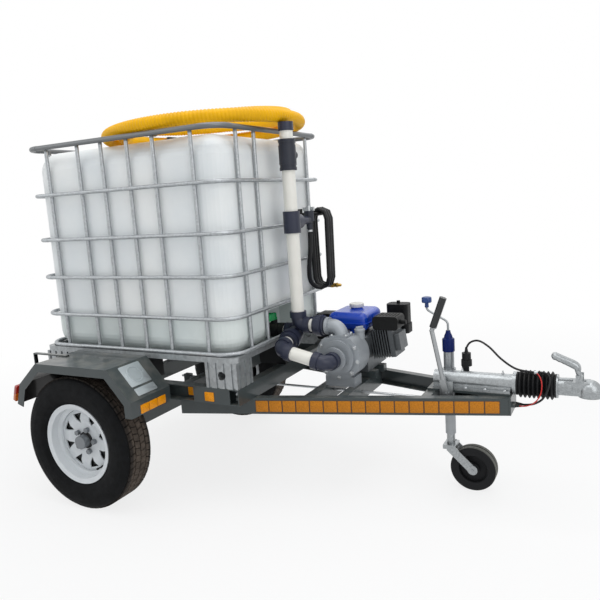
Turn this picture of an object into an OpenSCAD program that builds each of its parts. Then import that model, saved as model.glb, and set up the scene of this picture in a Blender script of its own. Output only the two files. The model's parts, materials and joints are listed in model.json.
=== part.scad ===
// Wheeled water bowser: a caged tank on a single-axle braked trailer with a petrol pump set.
// Lengths are in millimetres. X points forward to the coupling, Y to the left, Z up from the ground.
// Places along X are counted from the wheel axis, and in_frame() moves them to the middle of the length.

/* [Tank and cage] */
// Length of the cage along the trailer
cage_l = 1200; // [1100:10:1250]
// Width of the cage across the trailer
cage_w = 1000; // [980:4:1000]
// Middle of the tank ahead of the wheel axis
tank_x = 178; // [150:2:190]
// Outer radius of the cage tubes
cage_tube_r = 9; // [7:0.5:10]
// Outer radius of the top rail of the cage
top_rail_r = 12; // [9:0.5:13]
// Plan radius of the cage corners
cage_corner_r = 110; // [90:5:140]
// Height of the cage above the deck
cage_h = 1014; // [900:10:1060]
// Wall of the bottle
bottle_wall = 6; // [4:1:10]
// Corner radius of the bottle
bottle_round_r = 100; // [70:5:110]
// Radius of the filling neck
neck_r = 75; // [60:1:90]

/* [Pallet] */
// Height of the pallet from the frame to the deck
pallet_h = 144; // [130:2:160]
// Height of the deck rim
deck_rim_h = 26; // [20:1:34]
// Length of a corner foot along the trailer
foot_l = 170; // [140:5:200]
// Length of a corner foot across the trailer
foot_w = 130; // [110:5:160]

/* [Frame] */
// Height of the underside of the drawbar rails above the ground
drawbar_z = 428; // [420:1:440]
// Height of the drawbar rails
drawbar_h = 77; // [70:1:85]
// Height of the main frame rails
rail_h = 75; // [70:1:80]
// Flange width of the main frame rails
rail_w = 50; // [40:1:55]
// Flange width of the drawbar rails
drawbar_flange = 38; // [30:1:40]
// Sheet thickness of the rails
rail_t = 5; // [4:0.5:8]
// Half angle between the drawbar rails, in degrees
drawbar_angle = 15.7; // [15:0.1:16]
// Outer half width of the drawbar at its nose
nose_half_w = 70; // [66:1:76]
// Front end of the drawbar rails
nose_x = 1850; // [1830:5:1860]

/* [Wheels] */
// Radius of the tyres, which is also the height of the wheel axis
tyre_r = 325; // [310:1:330]
// Width of the tyres
tyre_w = 188; // [170:2:200]
// Distance of the tyre middle from the centre line
wheel_y = 669; // [660:1:672]
// Radius of the bead seat
bead_r = 178; // [170:1:185]
// Radius of the rim flange
rim_flange_r = 195.5; // [188:0.5:200]
// Length of the swing arm along the trailer
arm_run = 140; // [120:2:160]
// Rise of the swing arm pivot above the wheel axis
arm_rise = 65; // [55:1:75]

/* [Mudguards] */
// Height of the flat top of the mudguards
guard_top_z = 710; // [702:1:720]
// Outer half width across the mudguards
guard_half_w = 765; // [764:1:790]
// Sheet thickness of the mudguards
guard_t = 3; // [2:0.5:4]
// Depth of the outer lip of the mudguards
guard_lip = 40; // [30:2:50]

/* [Pipework] */
// Outer radius of the white pipes
pipe_r = 31.5; // [30:0.5:33]
// Wall of the white pipes
pipe_wall = 5; // [3:0.5:6]
// Outer radius of the pipe sockets
socket_r = 41; // [38:0.5:44]
// Length of a pipe socket
socket_l = 28; // [24:1:32]
// Standpipe ahead of the wheel axis
standpipe_x = 860; // [850:1:868]
// Standpipe left of the centre line
standpipe_y = -60; // [-70:1:-50]
// Height of the discharge run
discharge_z = 788; // [784:1:796]
// Height of the tee
tee_z = 1289; // [1250:2:1320]
// Height of the top valve
top_valve_z = 1604; // [1590:2:1615]

/* [Pump set] */
// Pump and crank axis ahead of the wheel axis
crank_x = 1085; // [1078:1:1090]
// Height of the pump and crank axis
crank_z = 650; // [646:1:655]
// Outer radius of the pump volute
volute_r = 112; // [106:1:116]
// Radius of the pump shaft
shaft_r = 11; // [9:0.5:13]
// Lean of the cylinder from level, in degrees
cylinder_lean = 8; // [4:1:12]

/* [Coupling] */
// Height of the drawtube axis
draw_z = 554; // [552:1:558]
// Radius of the drawtube
draw_r = 25; // [22:0.5:27]
// Travel of the overrun brake
overrun_travel = 80; // [60:5:90]
// Front end of the coupling head
head_tip_x = 2205; // [2200:1:2215]
// Radius of the ball socket
ball_r = 25.3; // [25:0.1:26]
// Outer radius of the bellows
bellows_r = 60; // [54:1:62]

/* [Jockey wheel] */
// Jockey post ahead of the wheel axis
jockey_x = 1560; // [1558:1:1564]
// Jockey post left of the centre line
jockey_y = 80; // [79:0.5:81]
// Outer radius of the jockey tube
jockey_r = 24; // [22:0.5:24.5]
// Radius of the jockey wheel
jockey_wheel_r = 105; // [100:1:108]
// Width of the jockey wheel
jockey_wheel_w = 60; // [50:1:64]

/* [Hoses] */
// Outer radius of the yellow suction hose
suction_hose_r = 32; // [28:1:32]
// Outer radius of the black delivery hose
delivery_hose_r = 12; // [10:0.5:12]

/* [Hidden] */
$fn = 64;
// Overrun of every cut
over = 1;
// Extra radius of a bend over the straight pieces that run into it
bend_swell = 0.6;
// Gap between two bodies that move past each other
body_gap = 0.3;
// Radial clearance of running shafts and slides
run_gap = 0.05;
// Radial clearance between a pipe and its socket
seat_gap = 0.1;
// Facets of rounded hulls
hull_facets = 32;

// Frame heights and ends
drawbar_top_z = drawbar_z + drawbar_h;
deck_z = drawbar_top_z + rail_h + pallet_h;
pallet_z = drawbar_top_z + rail_h;
cage_rear_x = tank_x - cage_l / 2;
cage_front_x = tank_x + cage_l / 2;
cage_half_w = cage_w / 2;
frame_inset = 8;
frame_rear_inset = 20;
frame_front_x = cage_front_x - frame_inset;
frame_rear_x = cage_rear_x + frame_rear_inset;
cross_w = 48;
rail_front_x = frame_front_x - cross_w;
rail_outer_y = cage_half_w;
web_y = rail_outer_y - rail_w;
mid_x = (head_tip_x + cage_rear_x) / 2;
corner_plate_l = 200;
corner_plate_in = 4;

// Colours of the finishes
chassis_grey = "#3f4644";
zinc_grey = "#a9adae";
pvc_blue = "#3c4350";
engine_black = "#1c1d1f";
cast_grey = "#b4b6b8";
fuel_blue = "#1d3f9c";

module in_frame() {
  translate([-mid_x, 0, 0]) children();
}

module both_sides() {
  children();
  mirror([0, 1, 0]) children();
}

function unit(v) = v / norm(v);

module along(p, q) {
  d = q - p;
  translate(p) rotate([0, acos(d[2] / norm(d)), atan2(d[1], d[0])]) children();
}

module rod(p, q, r) {
  along(p, q) cylinder(h = norm(q - p), r = r);
}

// Upright rod over a plan place, and a rod along Y at a place in X and Z
module stem(p, low, high, r) {
  rod([p[0], p[1], low], [p[0], p[1], high], r);
}

module spindle(p, low, high, r) {
  rod([p[0], low, p[2]], [p[0], high, p[2]], r);
}

module box(from, to) {
  translate(from) cube(to - from);
}

// Lies along Y with its outline in X and Z, from y = low to y = high
module side_profile(low, high) {
  translate([0, high, 0]) rotate([90, 0, 0]) linear_extrude(high - low) children();
}

// A rounded rectangle of true arcs
module round_rect(from, to, r) {
  translate(from + [r, 0]) square(to - from - [2 * r, 0]);
  translate(from + [0, r]) square(to - from - [0, 2 * r]);
  for (x = [from[0] + r, to[0] - r], y = [from[1] + r, to[1] - r]) translate([x, y]) circle(r);
}

// Rounded solid between two corners
module pillow(from, to, r) {
  hull() for (x = [from[0] + r, to[0] - r], y = [from[1] + r, to[1] - r], z = [from[2] + r, to[2] - r])
    translate([x, y, z]) sphere(r, $fn = hull_facets);
}

// Quarter of a bend: the arc of a pipe whose axis turns at p from direction u to direction v
function bend_reach(u, v, bend_r) = bend_r * tan((180 - acos(u * v)) / 2);

module pipe_arc(p, u, v, bend_r, r) {
  turn = 180 - acos(u * v);
  start = p + u * bend_reach(u, v, bend_r);
  middle = p + unit(u + v) * bend_r / cos(turn / 2);
  ex = unit(start - middle);
  ey = -u;
  ez = cross(ex, ey);
  multmatrix([
      [ex[0], ey[0], ez[0], middle[0]],
      [ex[1], ey[1], ez[1], middle[1]],
      [ex[2], ey[2], ez[2], middle[2]],
      [0, 0, 0, 1]
  ])
  rotate_extrude(angle = turn) translate([bend_r, 0]) circle(r);
}

// Open polyline moved sideways by d, with mitred corners
function edge_normal(p, q) = let (d = unit(q - p)) [-d[1], d[0]];
function mitre(pts, i, d) =
let (
  n1 = edge_normal(pts[max(i - 1, 0)], pts[max(i, 1)]),
  n2 = edge_normal(pts[min(i, len(pts) - 2)], pts[min(i + 1, len(pts) - 1)]),
  m = unit(n1 + n2)
) pts[i] + m * d / (m * n1);
function moved_path(pts, d) = [for (i = [0:len(pts) - 1]) mitre(pts, i, d)];
function backward(pts) = [for (i = [len(pts) - 1:-1:0]) pts[i]];

// Strip of sheet along a polyline
module strip(pts, d) {
  polygon(concat(pts, backward(moved_path(pts, d))));
}

// MAIN FRAME

// Channel along Y between two places, open toward the rear
module cross_channel(x, half_l, z, w, h) {
  difference() {
    box([x, -half_l, z], [x + w, half_l, z + h]);
    box([x - over, -half_l - over, z + rail_t], [x + w - rail_t, half_l + over, z + h - rail_t]);
  }
}

module side_rails() {
  color(chassis_grey) in_frame() both_sides() {
    difference() {
      box([frame_rear_x, -rail_outer_y, drawbar_top_z], [rail_front_x, -web_y, pallet_z]);
      box([frame_rear_x - over, -rail_outer_y - over, drawbar_top_z + rail_t],
        [rail_front_x + over, -web_y - rail_t, pallet_z - rail_t]);
    }
    box([rail_front_x - corner_plate_l, -rail_outer_y, drawbar_top_z + rail_t],
      [rail_front_x, -rail_outer_y + corner_plate_in, pallet_z - rail_t]);
  }
}

inner_cross_shares = [0, 0.42, 0.74];

module cross_members() {
  color(chassis_grey) in_frame() {
    cross_channel(rail_front_x, rail_outer_y, drawbar_top_z, cross_w, rail_h);
    for (share = inner_cross_shares)
      cross_channel(frame_rear_x + share * (rail_front_x - frame_rear_x), web_y, drawbar_top_z,
        cross_w, rail_h);
  }
}

// DRAWBAR

drawbar_rear_x = 420;
drawbar_l = (nose_x - drawbar_rear_x) / cos(drawbar_angle);
nose_plate_t = 10;
nose_plate_half_w = 50;
nose_plate_rear_x = 1492;
nose_end_t = 8;
nose_end_out = 2;
nose_end_half_w = nose_half_w + nose_end_out;
gland_r = 9;
gland_l = 14;
gland_z = drawbar_z + drawbar_h / 2;
light_gland_y = -18;
red_gland_y = -44;

function drawbar_y(x) = nose_half_w + (nose_x - x) * tan(drawbar_angle);
function drawbar_inner_y(x) = drawbar_y(x) - drawbar_flange / cos(drawbar_angle);

// One rail on the right side, with its web outside
module drawbar_rail() {
  difference() {
    translate([nose_x, -nose_half_w, drawbar_z]) rotate([0, 0, drawbar_angle]) translate([-drawbar_l, 0, 0])
      difference() {
      cube([drawbar_l + drawbar_flange, drawbar_flange, drawbar_h]);
      translate([-over, rail_t, rail_t]) cube([drawbar_l + drawbar_flange + 2 * over, drawbar_flange,
          drawbar_h - 2 * rail_t]);
    }
    box([nose_x + nose_end_t / 2, -nose_half_w - drawbar_flange, drawbar_z - over],
      [nose_x + 2 * drawbar_flange, nose_half_w, drawbar_top_z + over]);
  }
}

module drawbar_rails() {
  color(chassis_grey) in_frame() {
    both_sides() drawbar_rail();
    box([nose_plate_rear_x, -nose_plate_half_w, drawbar_top_z],
      [nose_x + nose_end_t / 2, nose_plate_half_w, drawbar_top_z + nose_plate_t]);
    box([nose_x, -nose_end_half_w, drawbar_z + over],
      [nose_x + nose_end_t, nose_end_half_w, drawbar_top_z + nose_plate_t / 2]);
    for (y = [light_gland_y, red_gland_y])
      rod([nose_x + nose_end_t, y, gland_z], [nose_x + nose_end_t + gland_l, y, gland_z], gland_r);
  }
}

bearer_w = 45;
pump_bearer_x = 980;
engine_bearer_x = 1128;
coupling_bearer_x = 1488;
coupling_bearer_w = 40;
skid_h = 36;
skid_w = 40;
skid_ys = [62, 178];
skid_over = 30;

// Inside of the drawbar between the flange tips
module drawbar_inside() {
  translate([0, 0, drawbar_z - over]) linear_extrude(drawbar_h + 2 * over) polygon([
      for (x = [drawbar_rear_x, nose_x]) [x, -drawbar_inner_y(x)],
      for (x = [nose_x, drawbar_rear_x]) [x, drawbar_inner_y(x)]
  ]);
}

module pump_bearers() {
  color(chassis_grey) in_frame() {
    intersection() {
      drawbar_inside();
      difference() {
        union() {
          for (x = [pump_bearer_x, engine_bearer_x])
            cross_channel(x, cage_half_w, drawbar_z, bearer_w, drawbar_h);
          cross_channel(coupling_bearer_x, cage_half_w, drawbar_z, coupling_bearer_w, drawbar_h);
        }
        rod([drawbar_rear_x, rod_y, lever_arm_z], [nose_x, rod_y, lever_arm_z], rod_hole_r);
      }
    }
    for (y = skid_ys) box([pump_bearer_x, y, drawbar_top_z],
      [engine_bearer_x + bearer_w + skid_over, y + skid_w, drawbar_top_z + skid_h]);
  }
}

// MUDGUARDS

guard_front_x = 385;
guard_front_low_z = 497;
guard_front_high_z = 570;
guard_top_front_x = 262;
guard_top_rear_x = -190;
guard_rear_high = [-318, 600];
guard_rear_low = [-352, 497];
guard_rear_slope = [(guard_rear_high[0] - guard_rear_low[0]) / (guard_rear_high[1] - guard_rear_low[1]), 1];
guard_inner_y = rail_outer_y;
guard_skirt_z = drawbar_top_z + rail_t;
guard_bar_w = 20;
guard_bar_t = 6;
guard_bar_l = 182;
guard_bar_leg = 50;
guard_bar_y = 622;
guard_outline = [
  [guard_front_x, guard_front_low_z], [guard_front_x, guard_front_high_z],
  [guard_top_front_x, guard_top_z], [guard_top_rear_x, guard_top_z], guard_rear_high, guard_rear_low
];

module mudguard() {
  side_profile(-guard_half_w, -guard_inner_y) strip(guard_outline, guard_t);
  side_profile(-guard_half_w, -guard_half_w + guard_t) strip(guard_outline, guard_lip);
  side_profile(-guard_inner_y - guard_t, -guard_inner_y) polygon([
      [guard_front_x, guard_skirt_z], for (i = [1:len(guard_outline) - 2]) guard_outline[i],
      guard_rear_low + (guard_skirt_z - guard_rear_low[1]) * guard_rear_slope
  ]);
  translate([guard_top_rear_x, -guard_bar_y, guard_top_z]) {
    box([-guard_bar_l, 0, 0], [0, guard_bar_w, guard_bar_t]);
    box([-guard_bar_l, 0, -guard_bar_leg], [-guard_bar_l + guard_bar_t, guard_bar_w, guard_bar_t]);
    box([0, 0, 0], [guard_bar_leg, guard_bar_w, guard_bar_t]);
  }
}

module mudguards() {
  color(chassis_grey) in_frame() both_sides() mudguard();
}

lamp_w = 95;
lamp_h = 80;
lamp_t = 22;
lamp_edge = 20;
lamp_slope = atan2(guard_rear_high[0] - guard_rear_low[0], guard_rear_high[1] - guard_rear_low[1]);

module tail_lamps() {
  color("#8a1f1a") in_frame() both_sides()
    translate([guard_rear_low[0], -guard_half_w + lamp_edge, guard_rear_low[1]]) rotate([0, lamp_slope, 0])
      difference() {
    translate([-lamp_t, 0, guard_t]) cube([lamp_t, lamp_w, lamp_h]);
    translate([-lamp_t - over, -over, guard_t + lamp_h / 2])
      cube([over + guard_t, lamp_w + 2 * over, guard_t]);
  }
}

// SUSPENSION

pivot_x = arm_run;
pivot_z = tyre_r + arm_rise;
beam_w = 80;
beam_half_l = 478;
torsion_r = 25;
torsion_l = 110;
bracket_y = 440;
bracket_w = 34;
bracket_l = 120;
arm_y = 482;
arm_t = 40;
arm_boss_r = 44;
arm_hub_r = 36;
arm_web_w = 56;
stub_r = 17.5;
back_plate_r = 124;
back_plate_t = 6;

module axle_tube() {
  color(zinc_grey) in_frame() {
    difference() {
      box([pivot_x - beam_w / 2, -beam_half_l, pivot_z - beam_w / 2],
        [pivot_x + beam_w / 2, beam_half_l, pivot_z + beam_w / 2]);
      rod([pivot_x, -beam_half_l - over, pivot_z], [pivot_x, beam_half_l + over, pivot_z],
        torsion_r + run_gap);
    }
    difference() {
      box([pivot_x - guide_l / 2, rod_y - guide_half_w, pivot_z + beam_w / 2],
        [pivot_x + guide_l / 2, rod_y + guide_half_w, lever_arm_z + guide_up]);
      rod([pivot_x - guide_l, rod_y, lever_arm_z], [pivot_x + guide_l, rod_y, lever_arm_z], rod_r + run_gap);
    }
    both_sides() box([pivot_x - bracket_l / 2, -bracket_y - bracket_w, pivot_z + beam_w / 2],
      [pivot_x + bracket_l / 2, -bracket_y, drawbar_top_z]);
  }
}

// Outward place of the wheel parts, measured from the tyre middle
drum_in = 74;
drum_r = 127;
drum_wall = 10;
hub_face = 10;
hub_barrel_r = 45;
hub_nose_r = 32;
hub_nose_out = 58;
hub_cap_t = 8;
stub_out = hub_nose_out - hub_cap_t - body_gap;

module swing_arm() {
  pivot = [pivot_x, -arm_y, pivot_z];
  stub = [0, -arm_y, tyre_r];
  out = [0, -1, 0];
  plate_y = wheel_y - drum_in - body_gap - back_plate_t;
  rod(pivot - out * (torsion_l), pivot, torsion_r);
  rod(pivot, pivot + out * arm_t, arm_boss_r);
  rod(stub, stub + out * arm_t, arm_hub_r);
  translate(stub + out * arm_t) rotate([0, -atan2(arm_rise, arm_run), 0])
    translate([0, 0, -arm_web_w / 2]) cube([norm([arm_run, arm_rise]), arm_t, arm_web_w]);
  rod(stub, stub + out * (wheel_y + stub_out - arm_y), stub_r);
  rod([0, -arm_y - arm_t, tyre_r], [0, -plate_y, tyre_r], arm_hub_r);
  rod([0, -plate_y, tyre_r], [0, -plate_y - back_plate_t, tyre_r], back_plate_r);
}

module swing_arm_right() {
  color(zinc_grey) in_frame() swing_arm();
}

module swing_arm_left() {
  color(zinc_grey) in_frame() mirror([0, 1, 0]) swing_arm();
}

// WHEELS

tread_half_w = 72;
tyre_wall = 14;
groove_w = 9;
groove_d = 8;
groove_shares = [-0.5, 0, 0.5];
shoulder_drop = 8;
bead_half_w = 66;
bead_clear = 2;
bead_seat_r = bead_r + seat_gap;
sidewall_steps = 8;
nut_circle_r = 56;
nut_count = 5;
nut_r = 13;
nut_h = 17;
rim_t = 5;
rim_well_r = 158;
rim_well_half_w = 34;
rim_half_w = 76;
disc_t = 6;
disc_bulge = 12;
disc_bulge_r = 108;
disc_inner_r = 82;
vent_count = 8;
vent_r = 13;
vent_circle_r = 132;

// Flank of the tyre from above the rim flange to the shoulder, as [radius, width]
flank_angle = 60;
flank_low_r = rim_flange_r + shoulder_drop;
flank_high_r = tyre_r - shoulder_drop;
function sidewall(inset) = [
  for (i = [0:sidewall_steps]) let (
    a = flank_angle * (2 * i / sidewall_steps - 1),
    bulge = (cos(a) - cos(flank_angle)) / (1 - cos(flank_angle)),
    climb = (1 + sin(a) / sin(flank_angle)) / 2
  )
  [
    flank_low_r + climb * (flank_high_r - inset - flank_low_r),
    tread_half_w - inset + (tyre_w / 2 - tread_half_w) * bulge
  ]
];
function mirrored(pts) = [for (p = backward(pts)) [p[0], -p[1]]];

module tyre_outline() {
  outer = sidewall(0);
  inner = sidewall(tyre_wall);
  difference() {
    polygon(concat([[bead_seat_r, bead_half_w - bead_clear]], outer, [[tyre_r, tread_half_w - shoulder_drop]],
        [[tyre_r, -tread_half_w + shoulder_drop]], mirrored(outer),
        [[bead_seat_r, bead_clear - bead_half_w]]));
    polygon(concat([[bead_r - over, bead_half_w - tyre_wall]], inner, mirrored(inner),
        [[bead_r - over, -bead_half_w + tyre_wall]]));
    for (share = groove_shares) translate([tyre_r - groove_d, share * tread_half_w - groove_w / 2])
      square([groove_d + over, groove_w]);
  }
}

// Turns a [radius, outward] outline about the axis of the right wheel
module turned() {
  translate([0, -wheel_y, tyre_r]) rotate([90, 0, 0]) rotate_extrude() children();
}

module tyre() {
  turned() tyre_outline();
}

module rim() {
  difference() {
    turned() {
      polygon([
          [rim_flange_r, rim_half_w], [rim_flange_r, rim_half_w - rim_t], [bead_r, bead_half_w],
          [bead_r, rim_well_half_w], [rim_well_r, rim_well_half_w - rim_t],
          [rim_well_r, rim_t - rim_well_half_w], [bead_r, -rim_well_half_w], [bead_r, -bead_half_w],
          [rim_flange_r, rim_t - rim_half_w], [rim_flange_r, -rim_half_w],
          [bead_r - rim_t, rim_t - rim_half_w], [bead_r - rim_t, -rim_well_half_w],
          [rim_well_r - rim_t, rim_t - rim_well_half_w], [rim_well_r - rim_t, rim_well_half_w - rim_t],
          [bead_r - rim_t, rim_well_half_w], [bead_r - rim_t, rim_half_w - rim_t]
      ]);
      polygon([
          [hub_nose_r + seat_gap, hub_face], [hub_nose_r + seat_gap, hub_face + disc_t],
          [disc_inner_r, hub_face + disc_t], [disc_bulge_r, hub_face + disc_t + disc_bulge],
          [rim_well_r - rim_t, hub_face + disc_t], [rim_well_r - rim_t, hub_face],
          [disc_bulge_r, hub_face + disc_bulge], [disc_inner_r, hub_face]
      ]);
    }
    for (i = [0:vent_count - 1]) translate([0, -wheel_y, tyre_r]) rotate([90, i * 360 / vent_count, 0])
      translate([vent_circle_r, 0, 0]) cylinder(h = rim_half_w, r = vent_r, $fn = 3);
  }
}

module hub() {
  difference() {
    turned() {
      translate([drum_r - drum_wall, -drum_in]) square([drum_wall, drum_in + hub_face]);
      square([drum_r, hub_face]);
      translate([0, -drum_in]) square([hub_barrel_r, drum_in + hub_face]);
      square([hub_nose_r, hub_nose_out]);
    }
    rod([0, -wheel_y + drum_in + over, tyre_r], [0, -wheel_y - hub_nose_out + hub_cap_t, tyre_r],
      stub_r + run_gap);
  }
  for (i = [0:nut_count - 1]) translate([0, -wheel_y - hub_face - disc_t, tyre_r])
    rotate([90, i * 360 / nut_count, 0]) translate([nut_circle_r, 0, 0])
      cylinder(h = nut_h, r = nut_r, $fn = 6);
}

module tyre_right() {
  color("#4a443e") in_frame() tyre();
}

module rim_right() {
  color("white") in_frame() rim();
}

module hub_right() {
  color(zinc_grey) in_frame() hub();
}

module tyre_left() {
  color("#4a443e") in_frame() mirror([0, 1, 0]) tyre();
}

module rim_left() {
  color("white") in_frame() mirror([0, 1, 0]) rim();
}

module hub_left() {
  color(zinc_grey) in_frame() mirror([0, 1, 0]) hub();
}

// PALLET

deck_t = 4;
deck_edge_w = 24;
notch_half_w = 60;
pallet_half_w = cage_half_w - 2 * body_gap;
pallet_rear_x = cage_rear_x + frame_inset;
pallet_front_x = cage_front_x - frame_inset;
rim_z = deck_z - deck_rim_h;
floor_z = rim_z + deck_t;
foot_hole_r = 20;
foot_rib_w = 14;
foot_rib_d = 5;
foot_ribs = 4;
block_l = 150;
block_w = 120;
plate_r = 30;

module pallet_deck() {
  color(zinc_grey) in_frame() difference() {
    translate([0, 0, rim_z]) linear_extrude(deck_rim_h)
      round_rect([pallet_rear_x, -pallet_half_w], [pallet_front_x, pallet_half_w], plate_r);
    translate([0, 0, floor_z]) linear_extrude(deck_rim_h)
      round_rect([pallet_rear_x + deck_edge_w, -pallet_half_w + deck_edge_w],
        [pallet_front_x - deck_edge_w, pallet_half_w - deck_edge_w], plate_r - deck_edge_w);
    box([pallet_front_x - deck_edge_w, -notch_half_w, rim_z - over],
      [pallet_front_x + over, notch_half_w, deck_z + over]);
  }
}

// One corner foot with its outer corner at the front on the right
module pallet_foot() {
  corner = [pallet_front_x, -pallet_half_w, pallet_z];
  difference() {
    box(corner - [foot_l, 0, 0], corner + [0, foot_w, rim_z - pallet_z]);
    for (i = [0:foot_ribs - 1])
      translate(corner + [-foot_l * (i + 0.5) / foot_ribs - foot_rib_w / 2, -over, -over])
        cube([foot_rib_w, foot_rib_d + over, rim_z - pallet_z + 2 * over]);
    for (i = [0:foot_ribs - 2])
      translate(corner + [-foot_rib_d, foot_w * (i + 0.5) / (foot_ribs - 1) - foot_rib_w / 2, -over])
        cube([foot_rib_d + over, foot_rib_w, rim_z - pallet_z + 2 * over]);
    translate(corner + [-foot_l / 2, -over, (rim_z - pallet_z) / 2]) rotate([-90, 0, 0])
      cylinder(h = foot_w + 2 * over, r = foot_hole_r);
  }
}

module pallet_feet() {
  color(zinc_grey) in_frame() both_sides() {
    pallet_foot();
    translate([pallet_front_x + pallet_rear_x, 0, 0]) mirror([1, 0, 0]) pallet_foot();
  }
}

module pallet_blocks() {
  color(engine_black) in_frame() {
    both_sides() box([tank_x - block_l / 2, -pallet_half_w + deck_t, pallet_z],
      [tank_x + block_l / 2, -pallet_half_w + deck_t + block_w, rim_z]);
    for (x = [pallet_rear_x + block_l / 2, pallet_front_x - block_l / 2])
      box([x - block_l / 2, -block_w / 2, pallet_z], [x + block_l / 2, block_w / 2, rim_z]);
  }
}

// CAGE

row_shares = [0.168, 0.354, 0.541, 0.76];
side_post_offsets = [-440, -230, -79, 79, 230, 440];
end_post_offsets = [-336, -184, 184, 336];
post_lap = 5;
row_gap_half_w = 70;
row_zs = [deck_z + cage_tube_r + bend_swell + body_gap, for (share = row_shares) deck_z + share * cage_h];
top_row_z = deck_z + cage_h - top_rail_r;
post_in = 2 * cage_tube_r - post_lap;

// Row of one side: a straight tube and half of each corner arc. half_l is half the length that
// the side faces, edge its distance from the middle of the tank
module cage_row(half_l, edge, r) {
  bend = cage_corner_r - r;
  straight_l = half_l - cage_corner_r + over;
  rod([-straight_l, -edge + r, 0], [straight_l, -edge + r, 0], r);
  for (side = [-1, 1]) translate([side * (half_l - cage_corner_r), -edge + cage_corner_r, 0])
    rotate([0, 0, side > 0 ? -90 : -135]) rotate_extrude(angle = 45) translate([bend, 0])
      circle(r + bend_swell);
}

module cage_panel(half_l, edge, offsets) {
  for (z = row_zs) translate([0, 0, z]) cage_row(half_l, edge, cage_tube_r);
  translate([0, 0, top_row_z]) cage_row(half_l, edge, top_rail_r);
  for (x = offsets)
    rod([x, -edge + cage_tube_r + post_in, deck_z], [x, -edge + cage_tube_r + post_in, top_row_z],
      cage_tube_r);
}

module cage_sides() {
  color(zinc_grey) in_frame() both_sides() translate([tank_x, 0, 0])
    cage_panel(cage_l / 2, cage_half_w, side_post_offsets);
}

module cage_ends() {
  color(zinc_grey) in_frame() difference() {
    translate([tank_x, 0, 0]) for (turn = [-90, 90]) rotate([0, 0, turn])
      cage_panel(cage_half_w, cage_l / 2, end_post_offsets);
    box([cage_front_x - 2 * cage_tube_r - over, -row_gap_half_w, deck_z],
      [cage_front_x + over, row_gap_half_w, row_zs[0] + 2 * cage_tube_r]);
  }
}

// TANK

bottle_gap = 4;
bottle_in = cage_tube_r + post_in + cage_tube_r + bottle_gap;
bottle_drop = 9;
bottle_top_z = top_row_z - top_rail_r - bottle_drop;
bottle_from = [cage_rear_x + bottle_in, -cage_half_w + bottle_in, floor_z];
bottle_to = [cage_front_x - bottle_in, cage_half_w - bottle_in, bottle_top_z];
pocket_half_w = 150;
pocket_h = 170;
pocket_d = 110;
pocket_back_x = bottle_to[0] - pocket_d;
neck_h = 30;
neck_wall = 6;
side_wall_share = 1.08;
outlet_bore_r = 25;
spout_r = 36;
spout_l = 24;
// The tank's walls as one size for both sides of a wall
wall_in = bottle_wall * [1, side_wall_share, 1];
pocket_from = [pocket_back_x, -pocket_half_w, floor_z - over];
pocket_to = [bottle_to[0] + over, pocket_half_w, floor_z + pocket_h];
outlet_lift = 40;
outlet_axis_z = floor_z + outlet_lift;

module tank_bottle() {
  neck_top = [tank_x, 0, bottle_top_z + neck_h];
  color("#eef0ee") in_frame() difference() {
    union() {
      difference() {
        pillow(bottle_from, bottle_to, bottle_round_r);
        box(pocket_from, pocket_to);
      }
      rod([tank_x, 0, bottle_top_z - bottle_wall], neck_top, neck_r);
      rod([pocket_back_x - bottle_wall, 0, outlet_axis_z],
        [pocket_back_x + spout_l, 0, outlet_axis_z], spout_r);
    }
    difference() {
      pillow(bottle_from + wall_in, bottle_to - wall_in, bottle_round_r - bottle_wall);
      box(pocket_from - wall_in, pocket_to + wall_in);
    }
    rod([tank_x, 0, bottle_top_z - 2 * bottle_wall], neck_top + [0, 0, over], neck_r - neck_wall);
    rod([pocket_back_x - 2 * bottle_wall, 0, outlet_axis_z],
      [pocket_back_x + spout_l + over, 0, outlet_axis_z], outlet_bore_r);
  }
}

lid_wall = 7;
lid_h = 34;
lid_lug_w = 16;
lid_lug_h = 12;

module tank_lid() {
  lid_r = neck_r + body_gap + lid_wall;
  lid_top_z = bottle_top_z + neck_h + body_gap + lid_wall;
  color(engine_black) in_frame() translate([tank_x, 0, 0]) {
    difference() {
      rod([0, 0, lid_top_z - lid_h], [0, 0, lid_top_z], lid_r);
      rod([0, 0, lid_top_z - lid_h - over], [0, 0, lid_top_z - lid_wall], neck_r + body_gap);
    }
    for (turn = [0, 90]) rotate([0, 0, turn]) translate([0, 0, lid_top_z + lid_lug_h / 2])
      cube([2 * lid_r - 2 * lid_wall, lid_lug_w, lid_lug_h], center = true);
  }
}

// OUTLET VALVE AND SUCTION RUN

valve_body_r = 38;
valve_body_l = 58;
valve_neck_r = 34;
valve_top_l = 56;
valve_stem_r = 7;
collar_r = 39;
collar_l = 26;
collar_gap = 8;
pipe_bore_r = pipe_r - pipe_wall;
valve_start_x = pocket_back_x + spout_l;
valve_mid_x = valve_start_x + valve_body_l / 2;
valve_end_x = valve_start_x + valve_body_l + collar_l + collar_gap;
handle_l = 112;
handle_w = 26;
handle_t = 11;
handle_hub_r = 17;
handle_z = outlet_axis_z + valve_top_l;

// The ball valve in the pocket of the tank, with the collar of its outlet
module outlet_valve_body() {
  start = [valve_start_x, 0, outlet_axis_z];
  end = [valve_end_x, 0, outlet_axis_z];
  color(engine_black) in_frame() difference() {
    union() {
      rod(start, end, valve_neck_r);
      rod(start, start + [valve_body_l, 0, 0], valve_body_r);
      rod(end - [collar_l, 0, 0], end, collar_r);
      stem([valve_mid_x, 0], outlet_axis_z, handle_z - body_gap, handle_hub_r);
    }
    rod(start - [over, 0, 0], end + [over, 0, 0], outlet_bore_r);
    stem([valve_mid_x, 0], outlet_axis_z, handle_z + over, valve_stem_r + run_gap);
  }
}

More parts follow.
